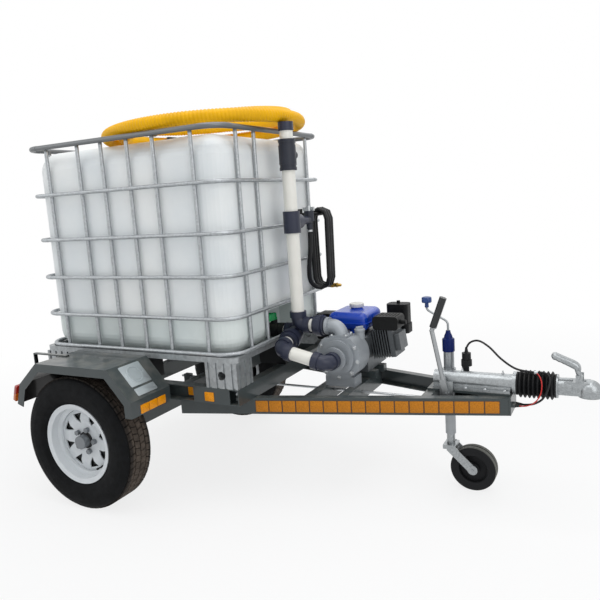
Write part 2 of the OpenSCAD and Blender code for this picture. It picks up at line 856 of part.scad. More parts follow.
module outlet_valve_handle() {
  stem_top = [valve_mid_x, 0, handle_z + handle_t];
  color("#2f9e54") in_frame() {
    rod([valve_mid_x, 0, outlet_axis_z + outlet_bore_r], stem_top, valve_stem_r);
    rod([valve_mid_x, 0, handle_z], stem_top, handle_hub_r);
    difference() {
      box([valve_mid_x - handle_w / 2, -handle_l, handle_z],
        [valve_mid_x + handle_w / 2, 0, handle_z + handle_t]);
      box([valve_mid_x - handle_w / 2 + handle_t / 2, -handle_l + handle_t, handle_z + handle_t / 2],
        [valve_mid_x + handle_w / 2 - handle_t / 2, -handle_hub_r, handle_z + handle_t + over]);
    }
  }
}

// Corners of the suction run, from the valve to the pump
elbow_bend_r = 40;
elbow_wall = 4;
elbow_laps = [3, 1.6];
run_start = [valve_end_x, 0, outlet_axis_z];
first_run = 72;
corner_a = [valve_end_x + first_run, 0, outlet_axis_z];
suction_side_x = 29;
suction_y = -240;
corner_b_z = 705;
corner_b = [corner_a[0] + suction_side_x, suction_y, corner_b_z];
corner_c = [crank_x, suction_y, crank_z];
suction_mouth_y = -168;
run_end = [crank_x, suction_mouth_y, crank_z];
union_r = 52;
union_l = 30;
union_body_r = 45;

// Corners of the discharge run, from the pump bend to the standpipe
bend_end_x = 1012;
corner_d = [standpipe_x, standpipe_y, discharge_z];
discharge_start = [bend_end_x, standpipe_y, discharge_z];
tee_half_h = 52;
valve_half_h = 72;
nipple_top_z = 1728;
standpipe_foot = corner_d + [0, 0, bend_reach([1, 0, 0], [0, 0, 1], elbow_bend_r)];

function toward(p, q, d) = p + unit(q - p) * d;
function socket_seat(p, a, b) = toward(p, a, bend_reach(unit(a - p), unit(b - p), elbow_bend_r));

// Elbow with two sockets at corner p, between the runs that come from a and go to b
module elbow(p, a, b) {
  u = unit(a - p);
  v = unit(b - p);
  reach = bend_reach(u, v, elbow_bend_r);
  difference() {
    union() {
      pipe_arc(p, u, v, elbow_bend_r, pipe_r + elbow_wall);
      for (i = [0, 1])
        rod(p + [u, v][i] * (reach - elbow_laps[i]), p + [u, v][i] * (reach + socket_l), socket_r);
    }
    pipe_arc(p, u, v, elbow_bend_r, pipe_bore_r);
    for (d = [u, v]) rod(p + d * (reach - over / 2), p + d * (reach + socket_l + over), pipe_r + seat_gap);
  }
}

// Union nut and body between two places on a straight run
module union_joint(p, q) {
  middle = (p + q) / 2;
  difference() {
    union() {
      rod(p, q, union_body_r);
      rod(toward(middle, p, union_l / 2), toward(middle, q, union_l / 2), union_r);
    }
    rod(toward(p, q, -over), toward(q, p, -over), pipe_r + seat_gap);
  }
}

union_a_share = 0.28;
union_b_share = 0.64;
discharge_union_shares = [0.03, 0.41];
union_from = corner_a + union_a_share * (corner_b - corner_a);
union_to = corner_a + union_b_share * (corner_b - corner_a);
discharge_union_from = discharge_start + discharge_union_shares[0] * (corner_d - discharge_start);
discharge_union_to = discharge_start + discharge_union_shares[1] * (corner_d - discharge_start);

module pipe_elbows() {
  color(pvc_blue) in_frame() {
    elbow(corner_a, run_start, corner_b);
    elbow(corner_b, corner_a, corner_c);
    elbow(corner_c, corner_b, run_end);
    elbow(corner_d, discharge_start, corner_d + [0, 0, tee_z]);
    union_joint(union_from, union_to);
    union_joint(discharge_union_from, discharge_union_to);
  }
}

// Straight white pipe between two seats
module white_pipe(p, q) {
  difference() {
    rod(p, q, pipe_r);
    rod(toward(p, q, -over), toward(q, p, -over), pipe_bore_r);
  }
}

module white_pipes() {
  axis = [standpipe_x, standpipe_y, 0];
  color("white") in_frame() {
    white_pipe(run_start, socket_seat(corner_a, run_start, corner_b));
    white_pipe(socket_seat(corner_a, corner_b, run_start), socket_seat(corner_b, corner_a, corner_c));
    white_pipe(socket_seat(corner_b, corner_c, corner_a), socket_seat(corner_c, corner_b, run_end));
    white_pipe(socket_seat(corner_c, run_end, corner_b), run_end);
    white_pipe(discharge_start, socket_seat(corner_d, discharge_start, standpipe_foot));
    white_pipe(standpipe_foot, axis + [0, 0, tee_z - tee_half_h + socket_l]);
    white_pipe(axis + [0, 0, tee_z + tee_half_h - socket_l],
      axis + [0, 0, top_valve_z - valve_half_h + socket_l]);
    white_pipe(axis + [0, 0, top_valve_z + valve_half_h - socket_l], axis + [0, 0, nipple_top_z]);
  }
}

// STANDPIPE FITTINGS

branch_reducer_y = 14;
branch_r = 20;
branch_bore_r = 12;
tap_y = 126;
tap_r = 25;
tap_inlet_l = 40;
tap_tail_r = 15;
tap_tail_z = 1242;
tap_rise = 14;
tap_z = tee_z + tap_rise;
branch_end_y = tap_y - tap_inlet_l;
lever_hub_r = 12;
lever_rise = 6;
lever_z = tap_z + tap_r + lever_rise;
lever_h = 26;
lever_w = 14;
lever_l = 30;

// Vertical fitting with a socket at each end
module socket_body(z, half_h, r) {
  axis = [standpipe_x, standpipe_y, z];
  difference() {
    union() {
      rod(axis - [0, 0, half_h], axis + [0, 0, half_h], r);
      children();
    }
    rod(axis - [0, 0, half_h + over], axis + [0, 0, half_h + over], pipe_bore_r);
    for (side = [-1, 1])
      rod(axis + [0, 0, side * (half_h - socket_l)], axis + [0, 0, side * (half_h + over)],
        pipe_r + seat_gap);
  }
}

module standpipe_tee() {
  axis = [standpipe_x, standpipe_y, tee_z];
  color(pvc_blue) in_frame() difference() {
    socket_body(tee_z, tee_half_h, socket_r) {
      rod(axis, [standpipe_x, branch_reducer_y, tee_z], socket_r - pipe_wall);
      rod(axis, [standpipe_x, branch_end_y, tee_z], branch_r);
    }
    rod(axis, [standpipe_x, branch_end_y + over, tee_z], branch_bore_r);
  }
}

top_stem_r = 8;
top_stem_l = 68;
top_bonnet_r = 24;
top_bonnet_l = 52;
top_handle_half_h = 46;
top_handle_t = 16;
top_handle_w = 22;

module top_valve_body() {
  axis = [standpipe_x, standpipe_y, top_valve_z];
  ball_half_h = valve_half_h - socket_l;
  color(pvc_blue) in_frame() difference() {
    socket_body(top_valve_z, valve_half_h, socket_r - pipe_wall / 2) {
      rod(axis - [0, 0, ball_half_h], axis + [0, 0, ball_half_h], socket_r);
      for (side = [-1, 1]) rod(axis + [0, 0, side * (valve_half_h - socket_l / 2)],
        axis + [0, 0, side * valve_half_h], socket_r);
      rod(axis, axis + [0, top_bonnet_l, 0], top_bonnet_r);
    }
    rod(axis, axis + [0, top_bonnet_l + over, 0], top_stem_r + run_gap);
  }
}

module top_valve_handle() {
  axis = [standpipe_x, standpipe_y, top_valve_z];
  color(engine_black) in_frame() {
    rod(axis + [0, pipe_bore_r + body_gap, 0], axis + [0, top_stem_l, 0], top_stem_r);
    rod(axis + [0, top_bonnet_l + body_gap, 0], axis + [0, top_stem_l, 0], top_bonnet_r - top_stem_r / 2);
    box(axis + [-top_handle_w / 2, top_bonnet_l + body_gap, -top_handle_half_h],
      axis + [top_handle_w / 2, top_bonnet_l + body_gap + top_handle_t, top_handle_half_h]);
  }
}

// Tap at the end of the branch, with a hose tail that points down
module branch_valve_body() {
  color(engine_black) in_frame() difference() {
    union() {
      rod([standpipe_x, branch_end_y, tee_z], [standpipe_x, tap_y, tee_z], branch_r);
      stem([standpipe_x, tap_y], tap_tail_z + tap_inlet_l, lever_z - body_gap, tap_r);
      stem([standpipe_x, tap_y], tap_tail_z, lever_z - body_gap, tap_tail_r);
    }
    rod([standpipe_x, branch_end_y - over, tee_z], [standpipe_x, tap_y, tee_z], branch_bore_r);
    stem([standpipe_x, tap_y], tap_tail_z - over, tee_z, delivery_bore_r);
    stem([standpipe_x, tap_y], tee_z + branch_bore_r + pipe_wall, lever_z + over, lever_stem_r + run_gap);
  }
}

delivery_bore_r = 9;
lever_stem_r = 5;

module branch_valve_lever() {
  axis = [standpipe_x, tap_y, lever_z];
  color(engine_black) in_frame() {
    rod([standpipe_x, tap_y, tee_z + branch_bore_r + pipe_wall + body_gap], axis, lever_stem_r);
    rod(axis, axis + [0, 0, lever_h], lever_hub_r);
    box(axis + [-lever_l, -lever_w / 2, 0], axis + [lever_l, lever_w / 2, lever_h - lever_w / 2]);
  }
}

// Screw cap on the top of the standpipe, on which the coiled hose lies
cap_r = 36;
cap_top_z = 1754;
cap_t = 10;

module standpipe_cap() {
  axis = [standpipe_x, standpipe_y, 0];
  color(pvc_blue) in_frame() difference() {
    stem(axis, nipple_top_z - socket_l / 2, cap_top_z, cap_r);
    stem(axis, nipple_top_z - socket_l / 2 - over, nipple_top_z, pipe_r + seat_gap);
    stem(axis, nipple_top_z - over, cap_top_z - cap_t, pipe_bore_r);
  }
}

// Hook on a post of the front cage panel, with a peg that carries the coiled delivery hose
hook_z = 1314;
hook_r = 10;
hook_post_i = 2;
hook_end_y = 336;
hook_knob_r = 15;
hook_knob_l = 14;
hook_clip_h = 60;
hook_clip_t = 6;
hook_clip_w = 40;
hook_y = end_post_offsets[hook_post_i];
hook_bend_r = 24;

module hose_hook() {
  corner = [standpipe_x, hook_y, hook_z];
  clip_x = cage_front_x + body_gap;
  color(zinc_grey) in_frame() {
    box([clip_x, hook_y - hook_clip_w / 2, hook_z - hook_clip_h],
      [clip_x + hook_clip_t, hook_y + hook_clip_w / 2, hook_z + hook_clip_h / 2]);
    rod([clip_x, hook_y, hook_z], corner - [hook_bend_r, 0, 0], hook_r);
    pipe_arc(corner, [-1, 0, 0], [0, 1, 0], hook_bend_r, hook_r);
    rod(corner + [0, hook_bend_r, 0], [standpipe_x, hook_end_y, hook_z], hook_r);
    rod([standpipe_x, hook_end_y - hook_knob_l, hook_z], [standpipe_x, hook_end_y, hook_z], hook_knob_r);
  }
}

// PUMP

volute_from_y = -112;
volute_to_y = 8;
cover_r = 84;
cover_t = 16;
suction_neck_r = 44;
suction_flange_r = 58;
suction_flange_t = 14;
tower_w = 88;
tower_y = [-102, -18];
pump_flange_z = 740;
pump_flange_t = 12;
pump_flange_over = 5;
cavity_r = 87;
cavity_wall = 12;
bell_r = 82;
bell_l = 32;
bell_to_y = volute_to_y + bell_l;
pump_foot_h = 48;
pump_foot_w = 150;
discharge_bore_r = 28;
impeller_r = 84;
impeller_t = 22;
blade_count = 5;
blade_t = 6;
blade_h = 22;
eye_r = 30;
impeller_y = -52;
port_r = 24;
port_l = 12;
port_out = 70;
port_x = crank_x + port_out;
port_y = 0;

module pump_casing() {
  axis = [crank_x, 0, crank_z];
  color(cast_grey) in_frame() difference() {
    union() {
      difference() {
        spindle(axis, volute_from_y, volute_to_y, volute_r);
        box([crank_x - volute_r, volute_from_y - over, pump_flange_z],
          [crank_x + volute_r, volute_to_y + over, crank_z + volute_r + over]);
      }
      spindle(axis, volute_from_y - cover_t, volute_from_y, cover_r);
      spindle(axis, suction_mouth_y, volute_from_y, suction_neck_r);
      spindle(axis, suction_mouth_y, suction_mouth_y + suction_flange_t, suction_flange_r);
      box([crank_x - tower_w / 2, tower_y[0], crank_z], [crank_x + tower_w / 2, tower_y[1], pump_flange_z]);
      box([crank_x - tower_w / 2 - pump_flange_over, tower_y[0] - pump_flange_over,
          pump_flange_z - pump_flange_t],
        [crank_x + tower_w / 2 + pump_flange_over, tower_y[1] + pump_flange_over, pump_flange_z]);
      spindle(axis, volute_to_y, bell_to_y, bell_r);
      box([crank_x - pump_foot_w / 2, tower_y[0], drawbar_top_z],
        [crank_x + pump_foot_w / 2, tower_y[1], drawbar_top_z + pump_foot_h]);
      rod([port_x, port_y, crank_z], [port_x, port_y, pump_flange_z + port_l], port_r);
    }
    spindle(axis, volute_from_y + cavity_wall, volute_to_y - cavity_wall, cavity_r);
    rod(axis + [0, suction_mouth_y - over, 0], axis, pipe_bore_r);
    rod(axis, axis + [0, bell_to_y + over, 0], shaft_r + run_gap);
    rod([crank_x, standpipe_y, crank_z], [crank_x, standpipe_y, pump_flange_z + over], discharge_bore_r);
  }
}

// Shaft with an open impeller
module pump_rotor() {
  axis = [crank_x, 0, crank_z];
  color(zinc_grey) in_frame() {
    spindle(axis, impeller_y - blade_h, bell_to_y - body_gap, shaft_r);
    spindle(axis, impeller_y, impeller_y + impeller_t, impeller_r);
    for (i = [0:blade_count - 1]) translate(axis + [0, impeller_y, 0])
      rotate([90, i * 360 / blade_count, 0]) translate([eye_r, -blade_t / 2, -over])
        cube([impeller_r - eye_r, blade_t, blade_h + over]);
  }
}

bend_plate_t = 10;
bend_r = 33;
bend_radius = 42;
bend_collar_r = 42;
bend_collar_l = 16;

// Cast bend on the pump's top flange
module discharge_bend() {
  corner = [crank_x, standpipe_y, discharge_z];
  foot = [crank_x, standpipe_y, pump_flange_z];
  color(cast_grey) in_frame() difference() {
    union() {
      box(foot - [tower_w / 2, tower_w / 2 - pump_flange_over, 0],
        foot + [tower_w / 2, tower_w / 2 - pump_flange_over, bend_plate_t]);
      rod(foot, corner - [0, 0, bend_radius - over], bend_r);
      pipe_arc(corner, [0, 0, -1], [-1, 0, 0], bend_radius, bend_r + bend_swell);
      rod(corner - [bend_radius - over, 0, 0], discharge_start, bend_r);
      rod(discharge_start + [bend_collar_l, 0, 0], discharge_start, bend_collar_r);
    }
    rod(foot - [0, 0, over], corner - [0, 0, bend_radius - over], discharge_bore_r - pipe_wall);
    pipe_arc(corner, [0, 0, -1], [-1, 0, 0], bend_radius, discharge_bore_r - pipe_wall + bend_swell);
    rod(corner - [bend_radius - over, 0, 0], discharge_start - [over, 0, 0], discharge_bore_r - pipe_wall);
  }
}

// ENGINE

case_half_w = 88;
case_y = [bell_to_y, 300];
case_round_r = 18;
case_top_z = 716;
sump_z = drawbar_top_z + skid_h;
cylinder_y = 165;
fin_w = 138;
fin_t = 5;
fin_count = 7;
fin_from = 92;
fin_pitch = 13;
barrel_w = 96;
head_from = fin_from + fin_count * fin_pitch;
head_l = 24;
rocker_l = 26;
rocker_w = 104;
rocker_h = 84;
drain_r = 9;
drain_l = 12;

module engine_block() {
  color("#8f9294") in_frame() {
    side_profile(case_y[0], case_y[1])
      round_rect([crank_x - case_half_w, sump_z], [crank_x + case_half_w, case_top_z], case_round_r);
    box([crank_x - case_half_w, case_y[0], sump_z],
      [crank_x + case_half_w, case_y[1], sump_z + case_round_r]);
    rod([crank_x - case_half_w - drain_l, cylinder_y, sump_z + case_round_r],
      [crank_x, cylinder_y, sump_z + case_round_r], drain_r);
    translate([crank_x, cylinder_y, crank_z]) rotate([0, -cylinder_lean, 0]) {
      box([0, -barrel_w / 2, -barrel_w / 2], [head_from + head_l, barrel_w / 2, barrel_w / 2]);
      for (i = [0:fin_count - 1]) translate([fin_from + i * fin_pitch, -fin_w / 2, -fin_w / 2])
        cube([fin_t, fin_w, fin_w]);
      box([head_from, -fin_w / 2, -fin_w / 2], [head_from + head_l, fin_w / 2, fin_w / 2]);
      box([head_from + head_l, -rocker_w / 2, -rocker_h / 2],
        [head_from + head_l + rocker_l, rocker_w / 2, rocker_h / 2]);
    }
  }
}

fuel_from = [955, 62, 734];
fuel_to = [1165, 296, 826];
fuel_round_r = 34;
fuel_seam_out = 7;
fuel_seam_t = 5;
fuel_seam_share = 0.42;
fuel_foot_r = 24;
fuel_foot_ys = [100, 240];
filler_r = 30;
filler_h = 20;
filler_share = [0.5, 0.62];

module fuel_tank() {
  seam_z = fuel_from[2] + fuel_seam_share * (fuel_to[2] - fuel_from[2]);
  color(fuel_blue) in_frame() {
    pillow(fuel_from, fuel_to, fuel_round_r);
    translate([0, 0, seam_z]) linear_extrude(fuel_seam_t)
      round_rect([fuel_from[0] - fuel_seam_out, fuel_from[1] - fuel_seam_out],
        [fuel_to[0] + fuel_seam_out, fuel_to[1] + fuel_seam_out], fuel_round_r);
    translate([fuel_from[0] + filler_share[0] * (fuel_to[0] - fuel_from[0]),
        fuel_from[1] + filler_share[1] * (fuel_to[1] - fuel_from[1]), seam_z])
    cylinder(h = fuel_to[2] + filler_h - seam_z, r = filler_r);
    for (y = fuel_foot_ys) rod([crank_x, y, case_top_z], [crank_x, y, seam_z], fuel_foot_r);
  }
}

cleaner_from = [1192, 254, 690];
cleaner_to = [1312, 344, 838];
cleaner_base_h = 46;
cleaner_round_r = 22;
cleaner_knob_r = 9;
cleaner_knob_h = 14;
cleaner_band = 4;
carb_l = 50;
carb_h = 44;

module air_cleaner() {
  middle = (cleaner_from + cleaner_to) / 2;
  head_y = cylinder_y + fin_w / 2;
  color("#3a3d3f") in_frame() {
    translate([0, 0, cleaner_from[2]]) {
      linear_extrude(cleaner_base_h)
        round_rect([cleaner_from[0], cleaner_from[1]], [cleaner_to[0], cleaner_to[1]], cleaner_round_r);
      linear_extrude(cleaner_to[2] - cleaner_from[2])
        round_rect([cleaner_from[0] + cleaner_band, cleaner_from[1] + cleaner_band],
          [cleaner_to[0] - cleaner_band, cleaner_to[1] - cleaner_band], cleaner_round_r);
    }
    rod([middle[0], middle[1], cleaner_to[2]], [middle[0], middle[1], cleaner_to[2] + cleaner_knob_h],
      cleaner_knob_r);
    box([middle[0] - carb_l / 2, head_y, cleaner_from[2]],
      [middle[0] + carb_l / 2, cleaner_from[1] + cleaner_round_r, cleaner_from[2] + carb_h]);
  }
}

muffler_from = [1204, 44, 752];
muffler_to = [1330, 150, 818];
muffler_round_r = 16;
muffler_slot_w = 5;
muffler_slots = 7;
muffler_slot_share = 0.7;
exhaust_r = 16;
tail_r = 11;
tail_l = 26;

module muffler() {
  middle = (muffler_from + muffler_to) / 2;
  length = muffler_to[0] - muffler_from[0];
  width = muffler_to[1] - muffler_from[1];
  color(engine_black) in_frame() {
    difference() {
      side_profile(muffler_from[1], muffler_to[1])
        round_rect([muffler_from[0], muffler_from[2]], [muffler_to[0], muffler_to[2]],
          muffler_round_r);
      for (i = [0:muffler_slots - 1])
        translate([muffler_from[0] + length * (i + 1) / (muffler_slots + 1) - muffler_slot_w / 2,
            middle[1] - width * muffler_slot_share / 2, muffler_to[2] - muffler_slot_w])
        cube([muffler_slot_w, width * muffler_slot_share, muffler_slot_w + over]);
    }
    intersection() {
      rod([middle[0], middle[1], crank_z], [middle[0], middle[1], muffler_to[2] - muffler_round_r],
        exhaust_r);
      translate([crank_x, cylinder_y, crank_z]) rotate([0, -cylinder_lean, 0])
        box([0, -fin_w, fin_w / 2], [2 * fin_w + head_from, fin_w, 2 * fin_w]);
    }
    rod([muffler_to[0] - tail_l / 2, middle[1], middle[2]], [muffler_to[0] + tail_l, middle[1], middle[2]],
      tail_r);
  }
}

recoil_r = 70;
recoil_l = 42;
recoil_step_r = 52;
recoil_step_l = 26;
pull_l = 54;
pull_r = 8;
box_from = [862, 132, 672];
box_to = [946, 226, 806];
box_arm_h = 16;
box_arm_w = 40;
box_round_r = 10;

// Starter cover at the far end of the crankcase, and the switch box on its rear side
module engine_covers() {
  axis = [crank_x, 0, crank_z - pull_r];
  color(engine_black) in_frame() {
    spindle(axis, case_y[1], case_y[1] + recoil_l, recoil_r);
    spindle(axis, case_y[1] + recoil_l, case_y[1] + recoil_l + recoil_step_l, recoil_step_r);
    rod(axis + [-recoil_step_r, case_y[1] + recoil_l / 2, 0],
      axis + [-recoil_r - pull_l, case_y[1] + recoil_l / 2, 0], pull_r);
    side_profile(box_from[1], box_to[1])
      round_rect([box_from[0], box_from[2]], [box_to[0], box_to[2]], box_round_r);
    box([box_to[0] - box_round_r, box_from[1], box_from[2] + box_round_r],
      [crank_x - case_half_w, box_from[1] + box_arm_w, box_from[2] + box_round_r + box_arm_h]);
  }
}

// COUPLING

housing_rear_x = 1516;
housing_front_x = 1873;
housing_half_w = 46;
housing_z = drawbar_top_z + nose_plate_t;
housing_base_t = 12;
housing_r = 37;
housing_block_half_w = 34;
housing_end_t = 14;
collar_front_l = 14;
collar_front_r = 50;
lever_pivot = [1580, -58, 500];
lever_plate_t = 6;
lever_plate_half_l = 30;
lever_pin_r = 7;
lever_pin_l = 16;
lever_hub_t = 12;
lever_foot_r = 15;
draw_rear_x = housing_rear_x + housing_end_t + overrun_travel + lever_hub_t;
draw_bore_r = 17;
head_rear_x = 2033;
head_seat_l = 28;

module draw_rod(rear, front, r) {
  rod([rear, 0, draw_z], [front, 0, draw_z], r);
}

module coupling_housing() {
  pin = lever_pivot;
  color(zinc_grey) in_frame() difference() {
    union() {
      box([housing_rear_x, -housing_half_w, housing_z], [nose_x, housing_half_w, housing_z + housing_base_t]);
      box([housing_rear_x, -housing_block_half_w, housing_z], [nose_x, housing_block_half_w, draw_z]);
      draw_rod(housing_rear_x, housing_front_x, housing_r);
      draw_rod(housing_front_x - collar_front_l, housing_front_x, collar_front_r);
      box([pin[0] - lever_plate_half_l, pin[1], pin[2] - lever_foot_r],
        [pin[0] + lever_plate_half_l, pin[1] + lever_plate_t, draw_z]);
      box([pin[0] - lever_plate_half_l, pin[1], housing_z + housing_base_t],
        [pin[0] + lever_plate_half_l, 0, draw_z]);
      rod(pin, pin - [0, lever_pin_l, 0], lever_pin_r);
    }
    draw_rod(housing_rear_x + housing_end_t, housing_front_x + over, draw_r + run_gap);
  }
}

module drawtube() {
  color(zinc_grey) in_frame() difference() {
    draw_rod(draw_rear_x, head_rear_x + head_seat_l, draw_r);
    draw_rod(draw_rear_x - over, head_rear_x + head_seat_l + over, draw_bore_r);
  }
}

dome_r = 46;
ball_drop = 10;
skirt_h = 24;
head_collar_r = 37;
head_collar_l = 60;
head_flange_t = 6;
head_half_w = 32;
head_up = 30;
head_down = 28;
ball_x = head_tip_x - dome_r;
ball_z = draw_z - ball_drop;
handle_pivot = [2120, 0, 601];
handle_pin_r = 6;
handle_boss_r = 12;
handle_half_w = 23;
lug_t = 8;
lug_half_l = 14;
handle_bend = [2108, 0, 640];
handle_tip = [2022, 0, 684];
handle_bar_r = 9;
handle_bar_in = 2;

module coupling_head() {
  lug_y = handle_half_w + body_gap;
  color(zinc_grey) in_frame() difference() {
    union() {
      draw_rod(head_rear_x, head_rear_x + head_collar_l, head_collar_r);
      draw_rod(head_rear_x, head_rear_x + head_flange_t, collar_front_r);
      box([head_rear_x + head_collar_l / 2, -head_half_w, draw_z - head_down],
        [ball_x, head_half_w, draw_z + head_up]);
      translate([ball_x, 0, ball_z]) sphere(dome_r);
      rod([ball_x, 0, ball_z - skirt_h], [ball_x, 0, ball_z], dome_r);
      both_sides() box([handle_pivot[0] - lug_half_l, lug_y, draw_z],
        [handle_pivot[0] + lug_half_l, lug_y + lug_t, handle_pivot[2] + handle_boss_r]);
      rod(handle_pivot - [0, lug_y + lug_t, 0], handle_pivot + [0, lug_y + lug_t, 0], handle_pin_r);
    }
    translate([ball_x, 0, ball_z - skirt_h - dome_r])
      cube([2 * dome_r + over, 2 * dome_r + over, 2 * dome_r], center = true);
    translate([ball_x, 0, ball_z]) sphere(ball_r);
    rod([ball_x, 0, ball_z - skirt_h - over], [ball_x, 0, ball_z], ball_r);
    draw_rod(head_rear_x - over, head_rear_x + head_seat_l, draw_r + seat_gap);
  }
}

module coupling_handle() {
  grip = [0, handle_half_w - handle_bar_r - handle_bar_in, 0];
  color(zinc_grey) in_frame() difference() {
    union() {
      rod(handle_pivot - [0, handle_half_w, 0], handle_pivot + [0, handle_half_w, 0], handle_boss_r);
      for (side = [-1, 1]) {
        rod(handle_pivot + side * grip, handle_bend + side * grip, handle_bar_r);
        rod(handle_bend + side * grip, handle_tip + side * grip, handle_bar_r);
        for (p = [handle_bend, handle_tip]) translate(p + side * grip) sphere(handle_bar_r + bend_swell);
      }
      for (p = [handle_bend, handle_tip]) rod(p - grip, p + grip, handle_bar_r - handle_bar_in);
      along(handle_bend, handle_tip) translate([-handle_bar_r / 2, -grip[1], 0])
        cube([handle_bar_r / 2, 2 * grip[1], norm(handle_tip - handle_bend)]);
    }
    rod(handle_pivot - [0, handle_half_w + over, 0], handle_pivot + [0, handle_half_w + over, 0],
      handle_pin_r + run_gap);
  }
}

fold_count = 8;
fold_d = 13;
bellows_wall = 3;
bellows_end_l = 8;

// Folded rubber sleeve between the housing and the head
module bellows() {
  length = head_rear_x - housing_front_x - 2 * body_gap;
  pitch = (length - 2 * bellows_end_l) / fold_count;
  crests = [
    [0, bellows_r - fold_d], [bellows_end_l, bellows_r - fold_d],
    for (i = [0:fold_count - 1], side = [0, 1])
      [bellows_end_l + (i + 0.5 + side / 2) * pitch, bellows_r - side * fold_d],
      [length, bellows_r - fold_d]
  ];
  outline = [for (p = crests) [p[1], p[0]]];
  color(engine_black) in_frame() translate([housing_front_x + body_gap, 0, draw_z]) rotate([0, 90, 0])
    rotate_extrude() polygon(concat(outline, backward([for (p = outline) [p[0] - bellows_wall, p[1]]])));
}

lever_y = lever_pivot[1] - body_gap - lever_hub_t / 2;
lever_bend = [1525, lever_y, 785];
lever_tip = [1580, lever_y, 934];
lever_blade_share = 0.28;
lever_tube_share = 0.23;
lever_blade_w = 26;
lever_tube_r = 10;
lever_grip_r = 16;
lever_grip_share = 0.1;
lever_arm_z = 470;
lever_arm_w = 22;
rod_r = 6;
rod_hole_r = 9;
guide_l = 40;
guide_half_w = 14;
guide_up = 14;
rod_y = -50;
rod_front_x = 1562;
rod_rear_x = 100;
rod_eye_l = 32;
rod_eye_h = 24;
rod_eye_t = 6;

module handbrake_lever() {
  hub_from = lever_pivot - [0, body_gap, 0];
  hub_to = hub_from - [0, lever_hub_t, 0];
  root = (hub_from + hub_to) / 2;
  color("#33373a") in_frame() difference() {
    union() {
      rod(hub_from, hub_to, lever_foot_r);
      along(root, lever_bend) translate([-lever_blade_w / 2, -lever_hub_t / 2, 0])
        cube([lever_blade_w, lever_hub_t, lever_blade_share * norm(lever_bend - root)]);
      rod(root + (lever_bend - root) * lever_tube_share, lever_bend, lever_tube_r);
      translate(lever_bend) sphere(lever_tube_r + bend_swell);
      rod(lever_bend, lever_tip, lever_tube_r);
      rod(lever_bend + (lever_tip - lever_bend) * lever_grip_share, lever_tip, lever_grip_r);
      box([root[0] - lever_arm_w / 2, hub_to[1], lever_arm_z - lever_arm_w / 2],
        [root[0] + lever_arm_w / 2, hub_from[1], root[2]]);
    }
    rod(hub_from + [0, over, 0], hub_from - [0, lever_pin_l + over, 0], lever_pin_r + run_gap);
  }
}

// Brake rod from the lever to the guide on the axle tube
module brake_rod() {
  color(zinc_grey) in_frame() {
    rod([rod_rear_x, rod_y, lever_arm_z], [rod_front_x, rod_y, lever_arm_z], rod_r);
    translate([rod_front_x, lever_pivot[1] + body_gap, lever_arm_z - rod_eye_h / 2])
      cube([rod_eye_l, rod_eye_t, rod_eye_h]);
  }
}

plug_x = 1645;
plug_plate_y = 38;
plug_plate_t = 5;
plug_plate_w = 32;
plug_r = 20;
plug_z = [600, 660];
holder_r = 24;
holder_h = 28;
plug_y = plug_plate_y + plug_plate_t + plug_r - seat_gap;

// Parked plug of the lighting cable in its holder
module cable_plug() {
  color(engine_black) in_frame() {
    box([plug_x - plug_plate_w / 2, plug_plate_y, housing_z + housing_base_t],
      [plug_x + plug_plate_w / 2, plug_plate_y + plug_plate_t, plug_z[0] + holder_h]);
    rod([plug_x, plug_y, plug_z[0]], [plug_x, plug_y, plug_z[0] + holder_h], holder_r);
    rod([plug_x, plug_y, plug_z[0]], [plug_x, plug_y, plug_z[1]], plug_r);
  }
}

// JOCKEY WHEEL

jockey_low_z = 262;
jockey_collar_z = [643, 729];
jockey_collar_r = 28;
jockey_bush_r = 17;
jockey_bush_z = 806;
jockey_inner_r = 19;
jockey_inner_wall = 5;
jockey_inner_z = [214, 588];
jockey_bore_top_z = 640;
clamp_r = 31;
clamp_z = [522, 578];
clamp_web_t = 16;
clamp_foot_l = 50;
clamp_foot_y = [121, 143];
clamp_foot_t = 8;
clamp_screw_l = 40;
swivel_r = 10;
crown_t = 20;
crown_half_l = 30;
washer_r = 15;
washer_t = 5;
fork_t = 6;
fork_gap = 3;
fork_arm_w = 40;
fork_eye_r = 23;
pin_out = 4;
trail = 105;
axle_pin_r = 6;
crank_r = 7;
crank_foot_z = 655;
crank_top_z = 832;
crank_reach = 88;
crank_knob_z = [872, 912];
crank_arm_end_z = 868;
crank_knob_r = 14;
post = [jockey_x, jockey_y, 0];

module jockey_clamp() {
  color(zinc_grey) in_frame() difference() {
    union() {
      stem(post, clamp_z[0], clamp_z[1], clamp_r);
      box([jockey_x - clamp_web_t / 2, jockey_y, drawbar_top_z],
        [jockey_x + clamp_web_t / 2, clamp_foot_y[1], clamp_z[1]]);
      box([jockey_x - clamp_foot_l / 2, clamp_foot_y[0], drawbar_top_z],
        [jockey_x + clamp_foot_l / 2, clamp_foot_y[1], drawbar_top_z + clamp_foot_t]);
      rod(post + [0, 0, clamp_z[1] - clamp_foot_t * 2], post + [clamp_r + clamp_screw_l, 0,
          clamp_z[1] - clamp_foot_t * 2], axle_pin_r);
    }
    stem(post, drawbar_top_z - over, clamp_z[1] + over, jockey_r + seat_gap);
  }
}

module jockey_outer_tube() {
  color(zinc_grey) in_frame() difference() {
    union() {
      stem(post, jockey_low_z, jockey_collar_z[0], jockey_r);
      stem(post, jockey_collar_z[0], jockey_collar_z[1], jockey_collar_r);
      stem(post, jockey_collar_z[1], jockey_bush_z, jockey_bush_r);
    }
    stem(post, jockey_low_z - over, jockey_bore_top_z, jockey_inner_r + run_gap);
    stem(post, jockey_bore_top_z - over, jockey_bush_z + over, crank_r + run_gap);
  }
}

